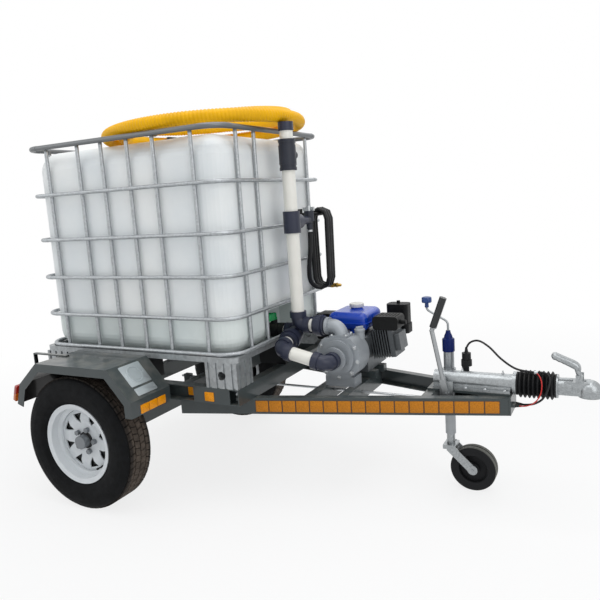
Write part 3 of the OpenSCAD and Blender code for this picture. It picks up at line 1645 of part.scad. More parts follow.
module jockey_inner_tube() {
  foot_z = jockey_inner_z[0];
  color(zinc_grey) in_frame() {
    difference() {
      stem(post, foot_z, jockey_inner_z[1], jockey_inner_r);
      stem(post, foot_z + jockey_inner_wall, jockey_inner_z[1] + over, jockey_inner_r - jockey_inner_wall);
    }
    stem(post, foot_z - crown_t - 2 * body_gap, foot_z, swivel_r);
    stem(post, foot_z - crown_t - 2 * body_gap - washer_t, foot_z - crown_t - 2 * body_gap, washer_r);
  }
}

// A piece of the fork on both sides of the jockey wheel
module both_arms() {
  children();
  translate([0, 2 * jockey_y, 0]) mirror([0, 1, 0]) children();
}

module jockey_fork() {
  crown_z = jockey_inner_z[0] - body_gap - crown_t;
  half_w = jockey_wheel_w / 2 + fork_gap;
  hub = post + [trail, 0, jockey_wheel_r];
  shoulder = [jockey_x, jockey_y, crown_z + crown_t / 2];
  run = hub - shoulder;
  color(zinc_grey) in_frame() {
    difference() {
      translate(post + [0, 0, crown_z + crown_t / 2])
        cube([2 * crown_half_l, 2 * (half_w + fork_t + over), crown_t], center = true);
      stem(post, crown_z - over, crown_z + crown_t + over, swivel_r + run_gap);
    }
    both_arms() {
      translate(shoulder + [0, half_w, 0]) rotate([0, -atan2(run[2], run[0]), 0])
        translate([0, 0, -fork_arm_w / 2]) cube([norm(run), fork_t, fork_arm_w]);
      rod(hub + [0, half_w + over / 2, 0], hub + [0, half_w + fork_t + over, 0], fork_eye_r);
    }
    rod(hub - [0, half_w + fork_t + pin_out, 0], hub + [0, half_w + fork_t + pin_out, 0], axle_pin_r);
  }
}

jockey_tread_r = 8;
jockey_rim_share = 0.68;
jockey_web_share = 0.3;
jockey_hub_share = 0.28;

module jockey_wheel() {
  half_w = jockey_wheel_w / 2;
  rim_r = jockey_rim_share * jockey_wheel_r;
  hub_r = jockey_hub_share * jockey_wheel_r;
  web_half = jockey_web_share * half_w;
  color("#5b5d5e") in_frame() translate(post + [trail, 0, jockey_wheel_r]) rotate([90, 0, 0])
    rotate_extrude() {
    difference() {
      round_rect([rim_r - jockey_tread_r, -half_w], [jockey_wheel_r, half_w], jockey_tread_r);
      translate([jockey_wheel_r - jockey_tread_r / 2, -jockey_tread_r / 2])
        square([jockey_tread_r, jockey_tread_r]);
    }
    translate([hub_r / 2, -web_half]) square([rim_r - hub_r / 2, 2 * web_half]);
    translate([axle_pin_r + run_gap, -half_w]) square([hub_r - axle_pin_r, 2 * half_w]);
  }
}

module jockey_crank() {
  elbow_top = post + [0, 0, crank_top_z];
  knob = post + [-crank_reach, 0, 0];
  color("#2c2e30") in_frame() {
    rod(post + [0, 0, crank_foot_z], elbow_top, crank_r);
    rod(post + [0, 0, jockey_bush_z + body_gap], elbow_top, crank_r * 2 - body_gap);
    rod(elbow_top - [0, 0, crank_r], knob + [0, 0, crank_arm_end_z], crank_r);
    rod(knob + [0, 0, crank_arm_end_z - crank_r], knob + [0, 0, crank_knob_z[1]], crank_r);
    rod(knob + [0, 0, crank_knob_z[0]], knob + [0, 0, crank_knob_z[1]], crank_knob_r);
  }
}

// HOSES AND CABLES

// Rings of a tube along points, with one radius per point
function tangent(pts, i) = unit(pts[min(i + 1, len(pts) - 1)] - pts[max(i - 1, 0)]);
function ring(pts, i, r, sides, side_axis) =
let (t = tangent(pts, i), b = unit(cross(t, side_axis)), n = cross(b, t))
[for (k = [0:sides - 1]) pts[i] + r * (cos(360 * k / sides) * n + sin(360 * k / sides) * b)];
function skin_faces(rings, sides, first, flip) = [
  for (i = [0:rings - 2], k = [0:sides - 1]) let (
    a = first + i * sides + k, b = first + i * sides + (k + 1) % sides, c = a + sides, d = b + sides
  ) each flip ? [[a, b, c], [b, d, c]] : [[a, c, b], [b, c, d]]
];

// Solid cord along points
module cord(pts, r, sides, side_axis) {
  n = len(pts);
  last = (n - 1) * sides;
  points = [for (i = [0:n - 1]) each ring(pts, i, r, sides, side_axis)];
  polyhedron(points, concat(
      skin_faces(n, sides, 0, false),
      [for (k = [1:sides - 2]) [0, k, k + 1]],
      [for (k = [1:sides - 2]) [last, last + k + 1, last + k]]
  ));
}

// Smooth curve through chosen points
function knot(pts, i) = pts[min(max(i, 0), len(pts) - 1)];
function spline(pts, i, u) =
let (a = knot(pts, i - 1), b = knot(pts, i), c = knot(pts, i + 1), d = knot(pts, i + 2))
(2 * b + (c - a) * u + (2 * a - 5 * b + 4 * c - d) * u * u + (3 * b - a - 3 * c + d) * u * u * u) / 2;
function curve(pts, steps) = [
  for (i = [0:len(pts) - 2], s = [0:steps - 1]) spline(pts, i, s / steps),
  pts[len(pts) - 1]
];
// Least gap of a tube to itself, over points at least apart places from each other
function least_gap(pts, r, apart) = min([
    for (i = [0:len(pts) - 1 - apart], j = [i + apart:len(pts) - 1]) norm(pts[i] - pts[j])
]) - 2 * r;

// The suction hose lies coiled on the tank: one loop inward, a climb, then outward on top
coil_middle = [365, 25];
coil_r = 515;
coil_start = -200;
coil_turn_in = 290;
coil_climb = 180;
coil_end = 520;
coil_spare = 14;
coil_step = 2 * suction_hose_r + coil_spare;
coil_rise = 2 * suction_hose_r + coil_spare / 2;
coil_tilt_share = 0.036;
coil_z = cap_top_z + body_gap + suction_hose_r;
rib_count = 160;
rib_d = 3;
hose_wall = 7;
hose_sides = 8;
end_l = 2 * suction_hose_r;
coupling_r = 36;
coupling_l = 62;

function coil_radius(a) = coil_r - coil_step * (min(a, coil_turn_in) - coil_start) / 360
+ coil_step * max(a - coil_turn_in - coil_climb, 0) / 360;
function coil_height(x, a) = coil_z + coil_tilt_share * (x - standpipe_x + cap_r)
+ coil_rise * min(max((a - coil_turn_in) / coil_climb, 0), 1);
function coil_point(a) =
let (x = coil_middle[0] + coil_radius(a) * cos(a), y = coil_middle[1] + coil_radius(a) * sin(a))
[x, y, coil_height(x, a)];
coil_rings = 2 * rib_count;
coil_body = [for (i = [0:coil_rings]) coil_point(coil_start + i * (coil_end - coil_start) / coil_rings)];
coil_lead = coil_body[0] + unit(coil_body[0] - coil_body[1]) * end_l;
coil_tail = coil_body[coil_rings] + unit(coil_body[coil_rings] - coil_body[coil_rings - 1]) * end_l;
coil_points = concat([coil_lead], coil_body, [coil_tail]);
echo(suction_coil_gap = least_gap(coil_body, suction_hose_r, floor(coil_rings / 4)));

module yellow_hose() {
  n = len(coil_points);
  bore_i = [0, for (i = [1:4:n - 2]) i, n - 1];
  m = len(bore_i);
  up = [0, 0, 1];
  skin = [
    for (i = [0:n - 1]) each ring(coil_points, i, suction_hose_r - (i % 2) * rib_d, hose_sides, up)
  ];
  bore = [for (i = bore_i) each ring(coil_points, i, suction_hose_r - hose_wall, hose_sides, up)];
  ends = [[0, n * hose_sides, false], [(n - 1) * hose_sides, (n + m - 1) * hose_sides, true]];
  color("#f2c513") in_frame() polyhedron(concat(skin, bore), concat(
      skin_faces(n, hose_sides, 0, false),
      skin_faces(m, hose_sides, n * hose_sides, true),
      [
        for (e = ends, k = [0:hose_sides - 1])
          let (a = e[0] + k, b = e[0] + (k + 1) % hose_sides, c = e[1] + k, d = e[1] + (k + 1) % hose_sides)
          each e[2] ? [[a, c, b], [b, c, d]] : [[a, b, c], [b, d, c]]
      ]
  ));
}

module hose_couplings() {
  color("#8d9092") in_frame() for (e = [[coil_lead, coil_body[0]], [coil_tail, coil_body[coil_rings]]])
    difference() {
    rod(e[0], toward(e[0], e[1], -coupling_l), coupling_r);
    rod(toward(e[0], e[1], over), toward(e[0], e[1], -coupling_l - over), suction_hose_r - hose_wall);
  }
}

// The delivery hose hangs in loops over the peg
loop_count = 3;
loop_rings = 24;
hank_sides = 6;
cord_sides = 8;
loop_r = 46;
loop_bottom_z = 930;
loop_top_z = hook_z + hook_r + delivery_hose_r + 2 * body_gap;
loop_start_y = 222;
loop_spare = 2;
loop_pitch = 2 * delivery_hose_r + loop_spare;
loop_half_run = (loop_top_z - loop_bottom_z) / 2 - loop_r;
loop_middle_z = (loop_top_z + loop_bottom_z) / 2;
hose_drop = [
  [standpipe_x, tap_y, tap_tail_z - 2 * body_gap], [standpipe_x, tap_y, 1218], [856, 128, 1150], [836, 140, 1050],
  [824, 165, 980], [834, 200, 940]
];

// Point of the hanging loops, s turns from the bottom of the first one
function loop_point(s) =
let (
  round_l = PI * loop_r,
  run_l = 2 * loop_half_run,
  d = (s - floor(s)) * 2 * (round_l + run_l),
  low = loop_middle_z - loop_half_run,
  high = loop_middle_z + loop_half_run,
  up_a = 90 * d / (round_l / 2),
  down_d = d - round_l / 2 - run_l,
  over_a = 180 * down_d / round_l,
  back_d = down_d - round_l - run_l,
  back_a = 90 * back_d / (round_l / 2),
  xz = d < round_l / 2 ? [loop_r * sin(up_a), low - loop_r * cos(up_a)]
  : down_d < 0 ? [loop_r, low + d - round_l / 2]
  : down_d < round_l ? [loop_r * cos(over_a), high + loop_r * sin(over_a)]
  : back_d < 0 ? [-loop_r, high - down_d + round_l]
  : [-loop_r * cos(back_a), low - loop_r * sin(back_a)]
) [standpipe_x + xz[0], loop_start_y + loop_pitch * s, xz[1]];
loop_body = [for (i = [0:loop_count * loop_rings]) loop_point(i / loop_rings)];
loop_tail = loop_body[len(loop_body) - 1] + [2 * delivery_hose_r, 0, 0];
delivery_points = concat(
  [for (p = curve(concat(hose_drop, [loop_body[0]]), 4)) p],
  [for (i = [1:len(loop_body) - 1]) loop_body[i]], [loop_tail]
);
echo(delivery_hank_gap = least_gap(loop_body, delivery_hose_r, loop_rings / 2));

module black_hose() {
  color(engine_black) in_frame() cord(delivery_points, delivery_hose_r, hank_sides, [0, 1, 0]);
}

gland_end_x = nose_x + nose_end_t + gland_l;
light_cable_r = 4.5;
red_cable_r = 2.5;
light_route = [
  [plug_x, plug_y, plug_z[1]], [1645, 63, 680], [1665, 58, 710], [1705, 45, 722], [1755, 20, 702],
  [1810, -10, 660], [1870, -26, 626], [1930, -28, 616], [1985, -30, 616], [2008, -44, 605],
  [2010, -64, 578], [2000, -72, 546], [1980, -66, 510], [1945, -46, 482], [1910, -26, 469],
  [1886, light_gland_y, gland_z], [gland_end_x, light_gland_y, gland_z]
];
red_route = [
  [gland_end_x, red_gland_y, gland_z], [1884, red_gland_y, gland_z], [1920, -62, 476], [1956, -80, 502],
  [1978, -86, 540], [1982, -78, 580], [1972, -58, 606], [1955, -37, 617]
];

module light_cable() {
  color(engine_black) in_frame() cord(curve(light_route, 3), light_cable_r, cord_sides, [0, 1, 0]);
}

module breakaway_cable() {
  color("#b3261e") in_frame() cord(curve(red_route, 4), red_cable_r, cord_sides, [0, 1, 0]);
}

side_rails();
cross_members();
drawbar_rails();
pump_bearers();
mudguards();
tail_lamps();
axle_tube();
pallet_deck();
pallet_feet();
pallet_blocks();
cage_sides();
cage_ends();
tank_bottle();
tank_lid();
outlet_valve_body();
outlet_valve_handle();
white_pipes();
pipe_elbows();
discharge_bend();
standpipe_tee();
top_valve_body();
top_valve_handle();
branch_valve_body();
branch_valve_lever();
standpipe_cap();
hose_hook();
pump_casing();
pump_rotor();
engine_block();
fuel_tank();
air_cleaner();
muffler();
engine_covers();
coupling_housing();
drawtube();
coupling_head();
coupling_handle();
bellows();
handbrake_lever();
brake_rod();
cable_plug();
jockey_clamp();
jockey_outer_tube();
jockey_inner_tube();
jockey_fork();
jockey_wheel();
jockey_crank();
swing_arm_right();
swing_arm_left();
tyre_right();
rim_right();
hub_right();
tyre_left();
rim_left();
hub_left();
yellow_hose();
hose_couplings();
black_hose();
light_cable();
breakaway_cable();
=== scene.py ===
"""Dresses the water trailer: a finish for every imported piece, and its hoses, tyres, bellows and fittings."""

from __future__ import annotations

import json
import logging
import math
from dataclasses import dataclass
from enum import Enum
from typing import Callable, Iterable, Sequence, Union

import bmesh
import bpy
from mathutils import Matrix, Vector

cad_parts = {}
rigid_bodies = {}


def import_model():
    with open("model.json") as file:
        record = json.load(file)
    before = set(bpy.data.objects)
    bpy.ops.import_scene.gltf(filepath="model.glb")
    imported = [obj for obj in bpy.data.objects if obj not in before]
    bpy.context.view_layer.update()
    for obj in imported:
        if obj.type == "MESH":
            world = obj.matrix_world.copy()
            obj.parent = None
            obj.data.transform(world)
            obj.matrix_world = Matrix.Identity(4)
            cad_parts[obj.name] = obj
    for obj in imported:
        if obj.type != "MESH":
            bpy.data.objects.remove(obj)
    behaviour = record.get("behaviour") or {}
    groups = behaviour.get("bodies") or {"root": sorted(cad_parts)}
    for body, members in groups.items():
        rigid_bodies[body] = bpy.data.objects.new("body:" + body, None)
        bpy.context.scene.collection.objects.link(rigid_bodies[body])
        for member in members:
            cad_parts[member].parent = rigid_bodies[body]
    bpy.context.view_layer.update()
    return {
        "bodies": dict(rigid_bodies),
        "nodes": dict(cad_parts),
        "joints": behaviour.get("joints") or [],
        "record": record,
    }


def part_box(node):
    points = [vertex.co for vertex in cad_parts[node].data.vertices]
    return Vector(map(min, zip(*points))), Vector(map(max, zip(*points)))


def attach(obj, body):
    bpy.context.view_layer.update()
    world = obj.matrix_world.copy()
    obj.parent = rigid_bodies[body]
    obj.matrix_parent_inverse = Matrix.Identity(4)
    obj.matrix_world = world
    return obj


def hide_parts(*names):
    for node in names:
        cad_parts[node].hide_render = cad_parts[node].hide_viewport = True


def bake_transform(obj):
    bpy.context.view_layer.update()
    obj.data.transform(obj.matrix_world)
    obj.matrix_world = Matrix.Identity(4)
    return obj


LOG = logging.getLogger("water_trailer")
MM = 0.001
ORIGIN_X = 891.5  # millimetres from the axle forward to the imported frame's origin
AXLE = (-ORIGIN_X * MM, 0.325)  # the axle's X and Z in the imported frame, in metres
WHEEL_Y = 669
WHEEL_Z = 325
AHEAD = (1, 0, 0)
UP = (0, 0, 1)

Triple = Sequence[float]
Point = tuple[float, float, float]
Outline = Sequence[tuple[float, float]]
Mesh = bmesh.types.BMesh
Edge = bmesh.types.BMEdge
Vert = bmesh.types.BMVert
Object = bpy.types.Object
Socket = bpy.types.NodeSocket


class Slot(Enum):
    """Material slots of the record."""

    ZINC = "galvanised"
    BLACK_PLASTIC = "black_plastic"
    ALLOY = "engine_alloy"
    STEEL = "steel"
    BELLOWS = "bellows_rubber"
    TYRE = "tyre"
    LAMP = "lamp"
    PALE_PLASTIC = "white_pipe"
    YELLOW_HOSE = "yellow_hose"
    BLACK_HOSE = "black_hose"
    RED_CABLE = "red_cable"
    RIM = "rim_paint"
    GREEN_PLASTIC = "green_plastic"
    BLACK_METAL = "black_metal"


class Side(Enum):
    """Sides of the trailer, with the sign of Y."""

    RIGHT = -1
    LEFT = 1

    @property
    def label(self) -> str:
        """The side as the names of pieces and nodes spell it."""
        return self.name.lower()


def at(x: float, y: float, z: float) -> Vector:
    """A place given in millimetres from the axle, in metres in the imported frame."""
    return Vector(((x - ORIGIN_X) * MM, y * MM, z * MM))


def tint(code: str) -> Point:
    """A hex colour as linear red, green and blue."""
    parts = [int(code[i : i + 2], 16) / 255 for i in (1, 3, 5)]
    return tuple(c / 12.92 if c <= 0.04045 else ((c + 0.055) / 1.055) ** 2.4 for c in parts)


def scaled(colour: Point, factor: float) -> Point:
    """A colour made darker or paler by a factor."""
    return tuple(min(c * factor, 1.0) for c in colour)


def facing(place: Vector, normal: Triple, along: Triple = AHEAD) -> Matrix:
    """A frame at a place.

    Args:
        place: Its origin, in metres.
        normal: Where its Z axis points.
        along: Where its X axis points, as nearly as the normal lets it.

    Returns:
        The frame's matrix.
    """
    z = Vector(normal).normalized()
    x = Vector(along)
    x = (x - z * x.dot(z)).normalized()
    frame = Matrix((x, z.cross(x), z)).transposed().to_4x4()
    frame.translation = place
    return frame


class Value:
    """A number that changes over a surface. Arithmetic on it adds Math nodes."""

    def __init__(self, nodes: Nodes, socket: Socket) -> None:
        """Wraps a socket of a node tree."""
        self.nodes = nodes
        self.socket = socket

    def maths(self, operation: str, a: Input, b: Input = 0.0) -> Value:
        """The result of a Math node on two inputs."""
        node = self.nodes.node("ShaderNodeMath", {"operation": operation}, {0: a, 1: b})
        return Value(self.nodes, node.outputs[0])

    def __add__(self, other: Input) -> Value:
        """Sum."""
        return self.maths("ADD", self, other)

    def __sub__(self, other: Input) -> Value:
        """Difference."""
        return self.maths("SUBTRACT", self, other)

    def __rsub__(self, other: Input) -> Value:
        """Difference from a plain number."""
        return self.maths("SUBTRACT", other, self)

    def __mul__(self, other: Input) -> Value:
        """Product."""
        return self.maths("MULTIPLY", self, other)

    __radd__ = __add__
    __rmul__ = __mul__

    def power(self, exponent: float) -> Value:
        """This number raised to an exponent."""
        return self.maths("POWER", self, exponent)

    def wave(self) -> Value:
        """Sine of this number."""
        return self.maths("SINE", self)

    def size(self) -> Value:
        """This number without its sign."""
        return self.maths("ABSOLUTE", self)

    def sign(self) -> Value:
        """-1 below zero and 1 above it."""
        return self.maths("SIGN", self)

    def larger(self, other: Input) -> Value:
        """The larger of this number and another."""
        return self.maths("MAXIMUM", self, other)

    def smooth(self, low: float, high: float) -> Value:
        """A smooth step.

        Args:
            low: Where it starts to rise from 0.
            high: Where it reaches 1.

        Returns:
            The step, from 0 to 1.
        """
        settings = {"interpolation_type": "SMOOTHSTEP", "clamp": True}
        sockets = {"Value": self, "From Min": low, "From Max": high}
        return Value(self.nodes, self.nodes.node("ShaderNodeMapRange", settings, sockets).outputs[0])


Input = Union[float, Sequence[float], Value, Socket]


class Nodes:
    """A node tree that grows from nothing."""

    def __init__(self, tree: bpy.types.NodeTree) -> None:
        """Empties the tree."""
        self.tree = tree
        tree.nodes.clear()

    def node(
        self, kind: str, settings: dict[str, object] | None = None, sockets: dict | None = None
    ) -> bpy.types.Node:
        """Adds a node.

        Args:
            kind: The node's type.
            settings: Its own settings, set first.
            sockets: Values or links for its inputs, by name or number.

        Returns:
            The node.
        """
        node = self.tree.nodes.new(kind)
        for key, value in (settings or {}).items():
            setattr(node, key, value)
        for key, value in (sockets or {}).items():
            self.feed(node.inputs[key], value)
        return node

    def feed(self, socket: Socket, value: Input) -> None:
        """Links a varying value to a socket, or sets a constant on it.

        Args:
            socket: The input.
            value: A varying value, another node's output, a number or a colour.
        """
        if isinstance(value, Value):
            value = value.socket
        if isinstance(value, Socket):
            self.tree.links.new(value, socket)
        elif hasattr(value, "__len__") and len(value) == 3 and socket.type == "RGBA":
            socket.default_value = (*value, 1.0)
        else:
            socket.default_value = value

    def part(self, vector: Socket, name: str) -> Value:
        """X, Y or Z of a vector."""
        return Value(self, self.node("ShaderNodeSeparateXYZ", None, {0: vector}).outputs[name])

    def seen(self) -> Value:
        """Tells the rays that come from the camera, a mirror or glass.

        Returns:
            1 for those rays and 0 for the others.
        """
        path = self.node("ShaderNodeLightPath").outputs
        names = ("Is Camera Ray", "Is Glossy Ray", "Is Transmission Ray")
        camera, glossy, through = (Value(self, path[name]) for name in names)
        return camera.larger(glossy).larger(through)


class Shade(Nodes):
    """The nodes of one material, around one principled shader."""

    def __init__(self, name: str) -> None:
        """Starts a material.

        Args:
            name: Its name.
        """
        self.material = bpy.data.materials.new(name)
        self.material.use_nodes = True
        super().__init__(self.material.node_tree)
        self.shader = self.node("ShaderNodeBsdfPrincipled")
        self.output = self.node("ShaderNodeOutputMaterial", None, {"Surface": self.shader.outputs[0]})
        self.place = self.node("ShaderNodeTexCoord").outputs["Object"]

    def dress(self, inputs: dict[str, Input]) -> None:
        """Feeds the shader's inputs, by name."""
        for name, value in inputs.items():
            self.feed(self.shader.inputs[name], value)

    def noise(self, scale: float, detail: float = 3.0) -> Value:
        """Cloudy noise from 0 to 1, scale cells to the metre."""
        sockets = {"Vector": self.place, "Scale": scale, "Detail": detail}
        return Value(self, self.node("ShaderNodeTexNoise", None, sockets).outputs["Fac"])

    def cells(self, scale: float, output: str = "Color") -> Value:
        """A number for each cell of a crystal pattern, or the distance to the cell's seed."""
        node = self.node("ShaderNodeTexVoronoi", None, {"Vector": self.place, "Scale": scale})
        return Value(self, node.outputs[output])

    def axis(self, name: str) -> Value:
        """X, Y or Z of the surface, in metres."""
        return self.part(self.place, name)

    def normal(self, name: str) -> Value:
        """X, Y or Z of the way that the surface looks."""
        return self.part(self.node("ShaderNodeNewGeometry").outputs["Normal"], name)

    def radius(self, x: float, z: float) -> Value:
        """Distance from an axis along Y through x and z."""
        dx, dz = self.axis("X") - x, self.axis("Z") - z
        return (dx * dx + dz * dz).power(0.5)

    def mix(self, share: Input, a: Input, b: Input) -> Socket:
        """Colour between a and b."""
        return self.node("ShaderNodeMix", {"data_type": "RGBA"}, {0: share, 6: a, 7: b}).outputs[2]

    def bump(self, height: Value, distance: float) -> None:
        """Roughens the surface by a height from 0 to 1 over a distance in metres."""
        node = self.node("ShaderNodeBump", None, {"Height": height, "Distance": distance})
        self.feed(self.shader.inputs["Normal"], node.outputs["Normal"])


MADE: dict[str, bpy.types.Material] = {}


@dataclass(frozen=True)
class Finish:
    """A plain finish with cloudy colour, fine grain, and some dust with painted top light on faces that look
    up.
    """

    name: str
    code: str
    rough: float = 0.45
    metal: float = 0.0
    coat: float = 0.0
    coat_rough: float = 0.12
    shift: float = 0.12
    clouds: float = 7.0
    smears: float = 24.0
    smear_span: float = 0.22
    grain: float = 260.0
    relief: float = 0.0004
    gloss: float = 0.5
    dust: float = 0.0
    dust_code: str = "#8f8a80"
    dust_clouds: float = 16.0

    def colour(self, shade: Shade) -> Socket:
        """The base colour before the dust and painted top light.

        Args:
            shade: The material's nodes.

        Returns:
            The colour's socket.
        """
        base = tint(self.code)
        dark, pale = scaled(base, 1 - self.shift), scaled(base, 1 + self.shift)
        return shade.mix(shade.noise(self.clouds, 5.0).smooth(0.3, 0.7), dark, pale)

    def height(self, shade: Shade) -> Value:
        """The fine relief, from 0 to 1."""
        return shade.noise(self.grain, 4.0)

    def roughness(self, shade: Shade) -> Value:
        """The roughness, with smears."""
        return shade.noise(self.smears, 4.0) * self.smear_span + (self.rough - self.smear_span / 2)

    def metallic(self, shade: Shade) -> Input:
        """How metallic the surface is."""
        return self.metal

    def dusted(self, shade: Shade) -> Socket:
        """The colour with dust and painted top light where a face looks up.

        Args:
            shade: The material's nodes.

        Returns:
            The colour's socket.
        """
        colour = self.colour(shade)
        if not self.dust:
            return colour
        # painted top light: a pale colour on faces that look up, partly dust and partly standing in for the
        # light on the tops
        clouds = shade.noise(self.dust_clouds, 6.0).smooth(0.35, 0.75)
        mask = clouds * shade.normal("Z").smooth(0.2, 1.0) * self.dust
        return shade.mix(mask, colour, tint(self.dust_code))

    def material(self) -> bpy.types.Material:
        """The finish's material, made once.

        Returns:
            The material.
        """
        if self.name not in MADE:
            shade = Shade(self.name)
            shade.dress({
                "Base Color": self.dusted(shade),
                "Roughness": self.roughness(shade),
                "Metallic": self.metallic(shade),
                "Specular IOR Level": self.gloss,
                "Coat Weight": self.coat,
                "Coat Roughness": self.coat_rough,
            })
            shade.bump(self.height(shade), self.relief)
            MADE[self.name] = shade.material
        return MADE[self.name]


@dataclass(frozen=True)
class Zinc(Finish):
    """Galvanised steel with a crystal pattern, darker above a height where that is given."""

    spangle: float = 90.0
    dark_above: float | None = None

    def colour(self, shade: Shade) -> Socket:
        """Zinc crystals of several greys.

        Args:
            shade: The material's nodes.

        Returns:
            The colour's socket.
        """
        base = tint(self.code)
        share = shade.cells(self.spangle) * 0.7 + shade.noise(9.0) * 0.3
        flakes = shade.mix(share, scaled(base, 0.72), scaled(base, 1.22))
        if self.dark_above is None:
            return flakes
        above = shade.axis("Z").smooth(self.dark_above - 0.004, self.dark_above + 0.004)
        return shade.mix(above, flakes, scaled(base, 0.4))


@dataclass(frozen=True)
class GuardPaint(Finish):
    """Chassis paint outside, and black painted shade on the faces that look at the wheel, where the arch lies
    in shadow.
    """

    middle_y: float = 0.632
    seal: str = "#0b0c0c"

    def colour(self, shade: Shade) -> Socket:
        """Paint, or black painted shade where the face looks inwards.

        Args:
            shade: The material's nodes.

        Returns:
            The colour's socket.
        """
        y = shade.axis("Y")
        ahead = shade.normal("X") * (shade.axis("X") - AXLE[0])
        above = shade.normal("Z") * (shade.axis("Z") - AXLE[1])
        across = shade.normal("Y") * y.sign() * (y.size() - self.middle_y)
        # painted shade: faces that look in towards the wheel turn near black, for the shadow inside the arch
        inward = 0 - (ahead + above + across)
        return shade.mix(inward.smooth(0.02, 0.05), super().colour(shade), tint(self.seal))


@dataclass(frozen=True)
class BottlePlastic(Finish):
    """Blown white plastic that shows the water in it faintly."""

    cool: str = "#e3e8ea"
    wet: str = "#c9d8d2"
    wet_share: float = 0.4
    water_z: float = 0.878

    def colour(self, shade: Shade) -> Socket:
        """White with a cool cast, and a faint green below the water's top.

        Args:
            shade: The material's nodes.

        Returns:
            The colour's socket.
        """
        white = shade.mix(shade.noise(2.6, 4.0).smooth(0.3, 0.7), tint(self.cool), tint(self.code))
        height = shade.axis("Z") + (shade.noise(5.0) - 0.5) * 0.008
        below = 1 - height.smooth(self.water_z - 0.006, self.water_z + 0.006)
        return shade.mix(below * self.wet_share, white, tint(self.wet))

    def height(self, shade: Shade) -> Value:
        """Soft waves of the blown wall."""
        return shade.noise(11.0, 2.0)


@dataclass(frozen=True)
class TyreRubber(Finish):
    """Black flank and a dusty tread, told apart by the distance from the axle."""

    flank_dark: str = "#0b0c0d"
    worn: str = "#5e544c"
    worn_dark: str = "#433c36"
    tread_r: float = 0.3165
    band: tuple[float, float] = (0.042, 0.058)
    flank_rings: float = 2200.0

    def colour(self, shade: Shade) -> Socket:
        """Black rubber, brown-grey where the tread has run.

        Args:
            shade: The material's nodes.

        Returns:
            The colour's socket.
        """
        mottle = shade.noise(30.0, 5.0).smooth(0.25, 0.75)
        worn = shade.mix(mottle, tint(self.worn_dark), tint(self.worn))
        flank = shade.mix(mottle, tint(self.flank_dark), tint(self.code))
        tread = shade.radius(*AXLE).smooth(self.tread_r, self.tread_r + 0.004)
        off = (shade.axis("Y").size() - WHEEL_Y * MM).size()
        return shade.mix(tread * (1 - off.smooth(*self.band) * 0.7), flank, worn)

    def height(self, shade: Shade) -> Value:
        """Fine rings of the flank and the grain of the rubber."""
        rings = (shade.radius(*AXLE) * self.flank_rings).wave() * 0.25
        return rings + shade.noise(self.grain, 3.0)


@dataclass(frozen=True)
class TwoTone(Finish):
    """Two finishes on one piece, parted by a ring, or by a height and an end."""

    other: str = "#202022"
    other_metal: float = 0.0
    low: float = -9.0
    ring: Point | None = None
    before_x: float | None = None

    def mask(self, shade: Shade) -> Value:
        """Where the second finish lies.

        Args:
            shade: The material's nodes.

        Returns:
            1 on the second finish and 0 on the first.
        """
        if self.ring:
            x, z, r = self.ring
            return 1 - shade.radius(x, z).smooth(r - 0.0008, r + 0.0008)
        share = shade.axis("Z").smooth(self.low - 0.0006, self.low)
        if self.before_x is not None:
            share = share * (1 - shade.axis("X").smooth(self.before_x - 0.001, self.before_x))
        return share

    def colour(self, shade: Shade) -> Socket:
        """Both colours, each with its clouds.

        Args:
            shade: The material's nodes.

        Returns:
            The colour's socket.
        """
        clouds = shade.noise(9.0, 4.0) * 0.5 + shade.cells(90.0) * 0.25
        bases = [tint(code) for code in (self.code, self.other)]
        first, second = (shade.mix(clouds, scaled(base, 0.8), base) for base in bases)
        return shade.mix(self.mask(shade), first, second)

    def metallic(self, shade: Shade) -> Input:
        """Metal on the first finish, and the second's own share."""
        return self.mask(shade) * (self.other_metal - self.metal) + self.metal


@dataclass(frozen=True)
class Reflector(Finish):
    """Amber sheet with a small cell pattern under a clear face."""

    cell: float = 300.0

    def colour(self, shade: Shade) -> Socket:
        """Amber, darker along the cells' edges."""
        edge = self.height(shade).smooth(0.35, 0.75)
        return shade.mix(edge, tint(self.code), scaled(tint(self.code), 0.72))

    def height(self, shade: Shade) -> Value:
        """The cells."""
        return shade.cells(self.cell, "Distance")


@dataclass(frozen=True)
class LampLens(Finish):
    """Red and amber lenses one over the other, ribbed."""

    red_dark: str = "#8f1d14"
    amber: str = "#d9761e"
    amber_dark: str = "#b75a14"
    split_z: float = 0.545
    ribs: float = 900.0

    def colour(self, shade: Shade) -> Socket:
        """Red above the split and amber below it, in fine ribs.

        Args:
            shade: The material's nodes.

        Returns:
            The colour's socket.
        """
        ribs = (shade.axis("Y") * self.ribs).wave().smooth(-0.6, 0.6)
        red = shade.mix(ribs, tint(self.red_dark), tint(self.code))
        amber = shade.mix(ribs, tint(self.amber_dark), tint(self.amber))
        above = shade.axis("Z").smooth(self.split_z - 0.001, self.split_z + 0.001)
        return shade.mix(above, amber, red)


PAINT = Finish("chassis_paint", "#3b4243", rough=0.38, coat=0.45, shift=0.08, relief=0.00025,
               gloss=0.2, dust=0.35)
GUARD_PAINT = GuardPaint("guard_paint", "#3f4647", rough=0.38, coat=0.45, shift=0.08, relief=0.00025,
                         gloss=0.2, dust=0.35)
ZINC_TUBE = Zinc("zinc_tube", "#a9adb0", rough=0.4, metal=0.75, spangle=140.0, relief=0.0002,
                 dark_above=1.706)
ZINC_SHEET = Zinc("zinc_sheet", "#9fa3a5", rough=0.38, metal=0.7, spangle=70.0, relief=0.0003, dust=0.25)
ZINC_PLATED = Zinc("zinc_plated", "#a0a4a6", rough=0.33, metal=0.8, spangle=170.0, relief=0.0002)
BOTTLE = BottlePlastic("bottle_plastic", "#f1f3f2", rough=0.42, relief=0.002)
BLACK_PLASTIC = Finish("black_plastic", "#18191b", rough=0.5, relief=0.0003, gloss=0.25, dust=0.15)
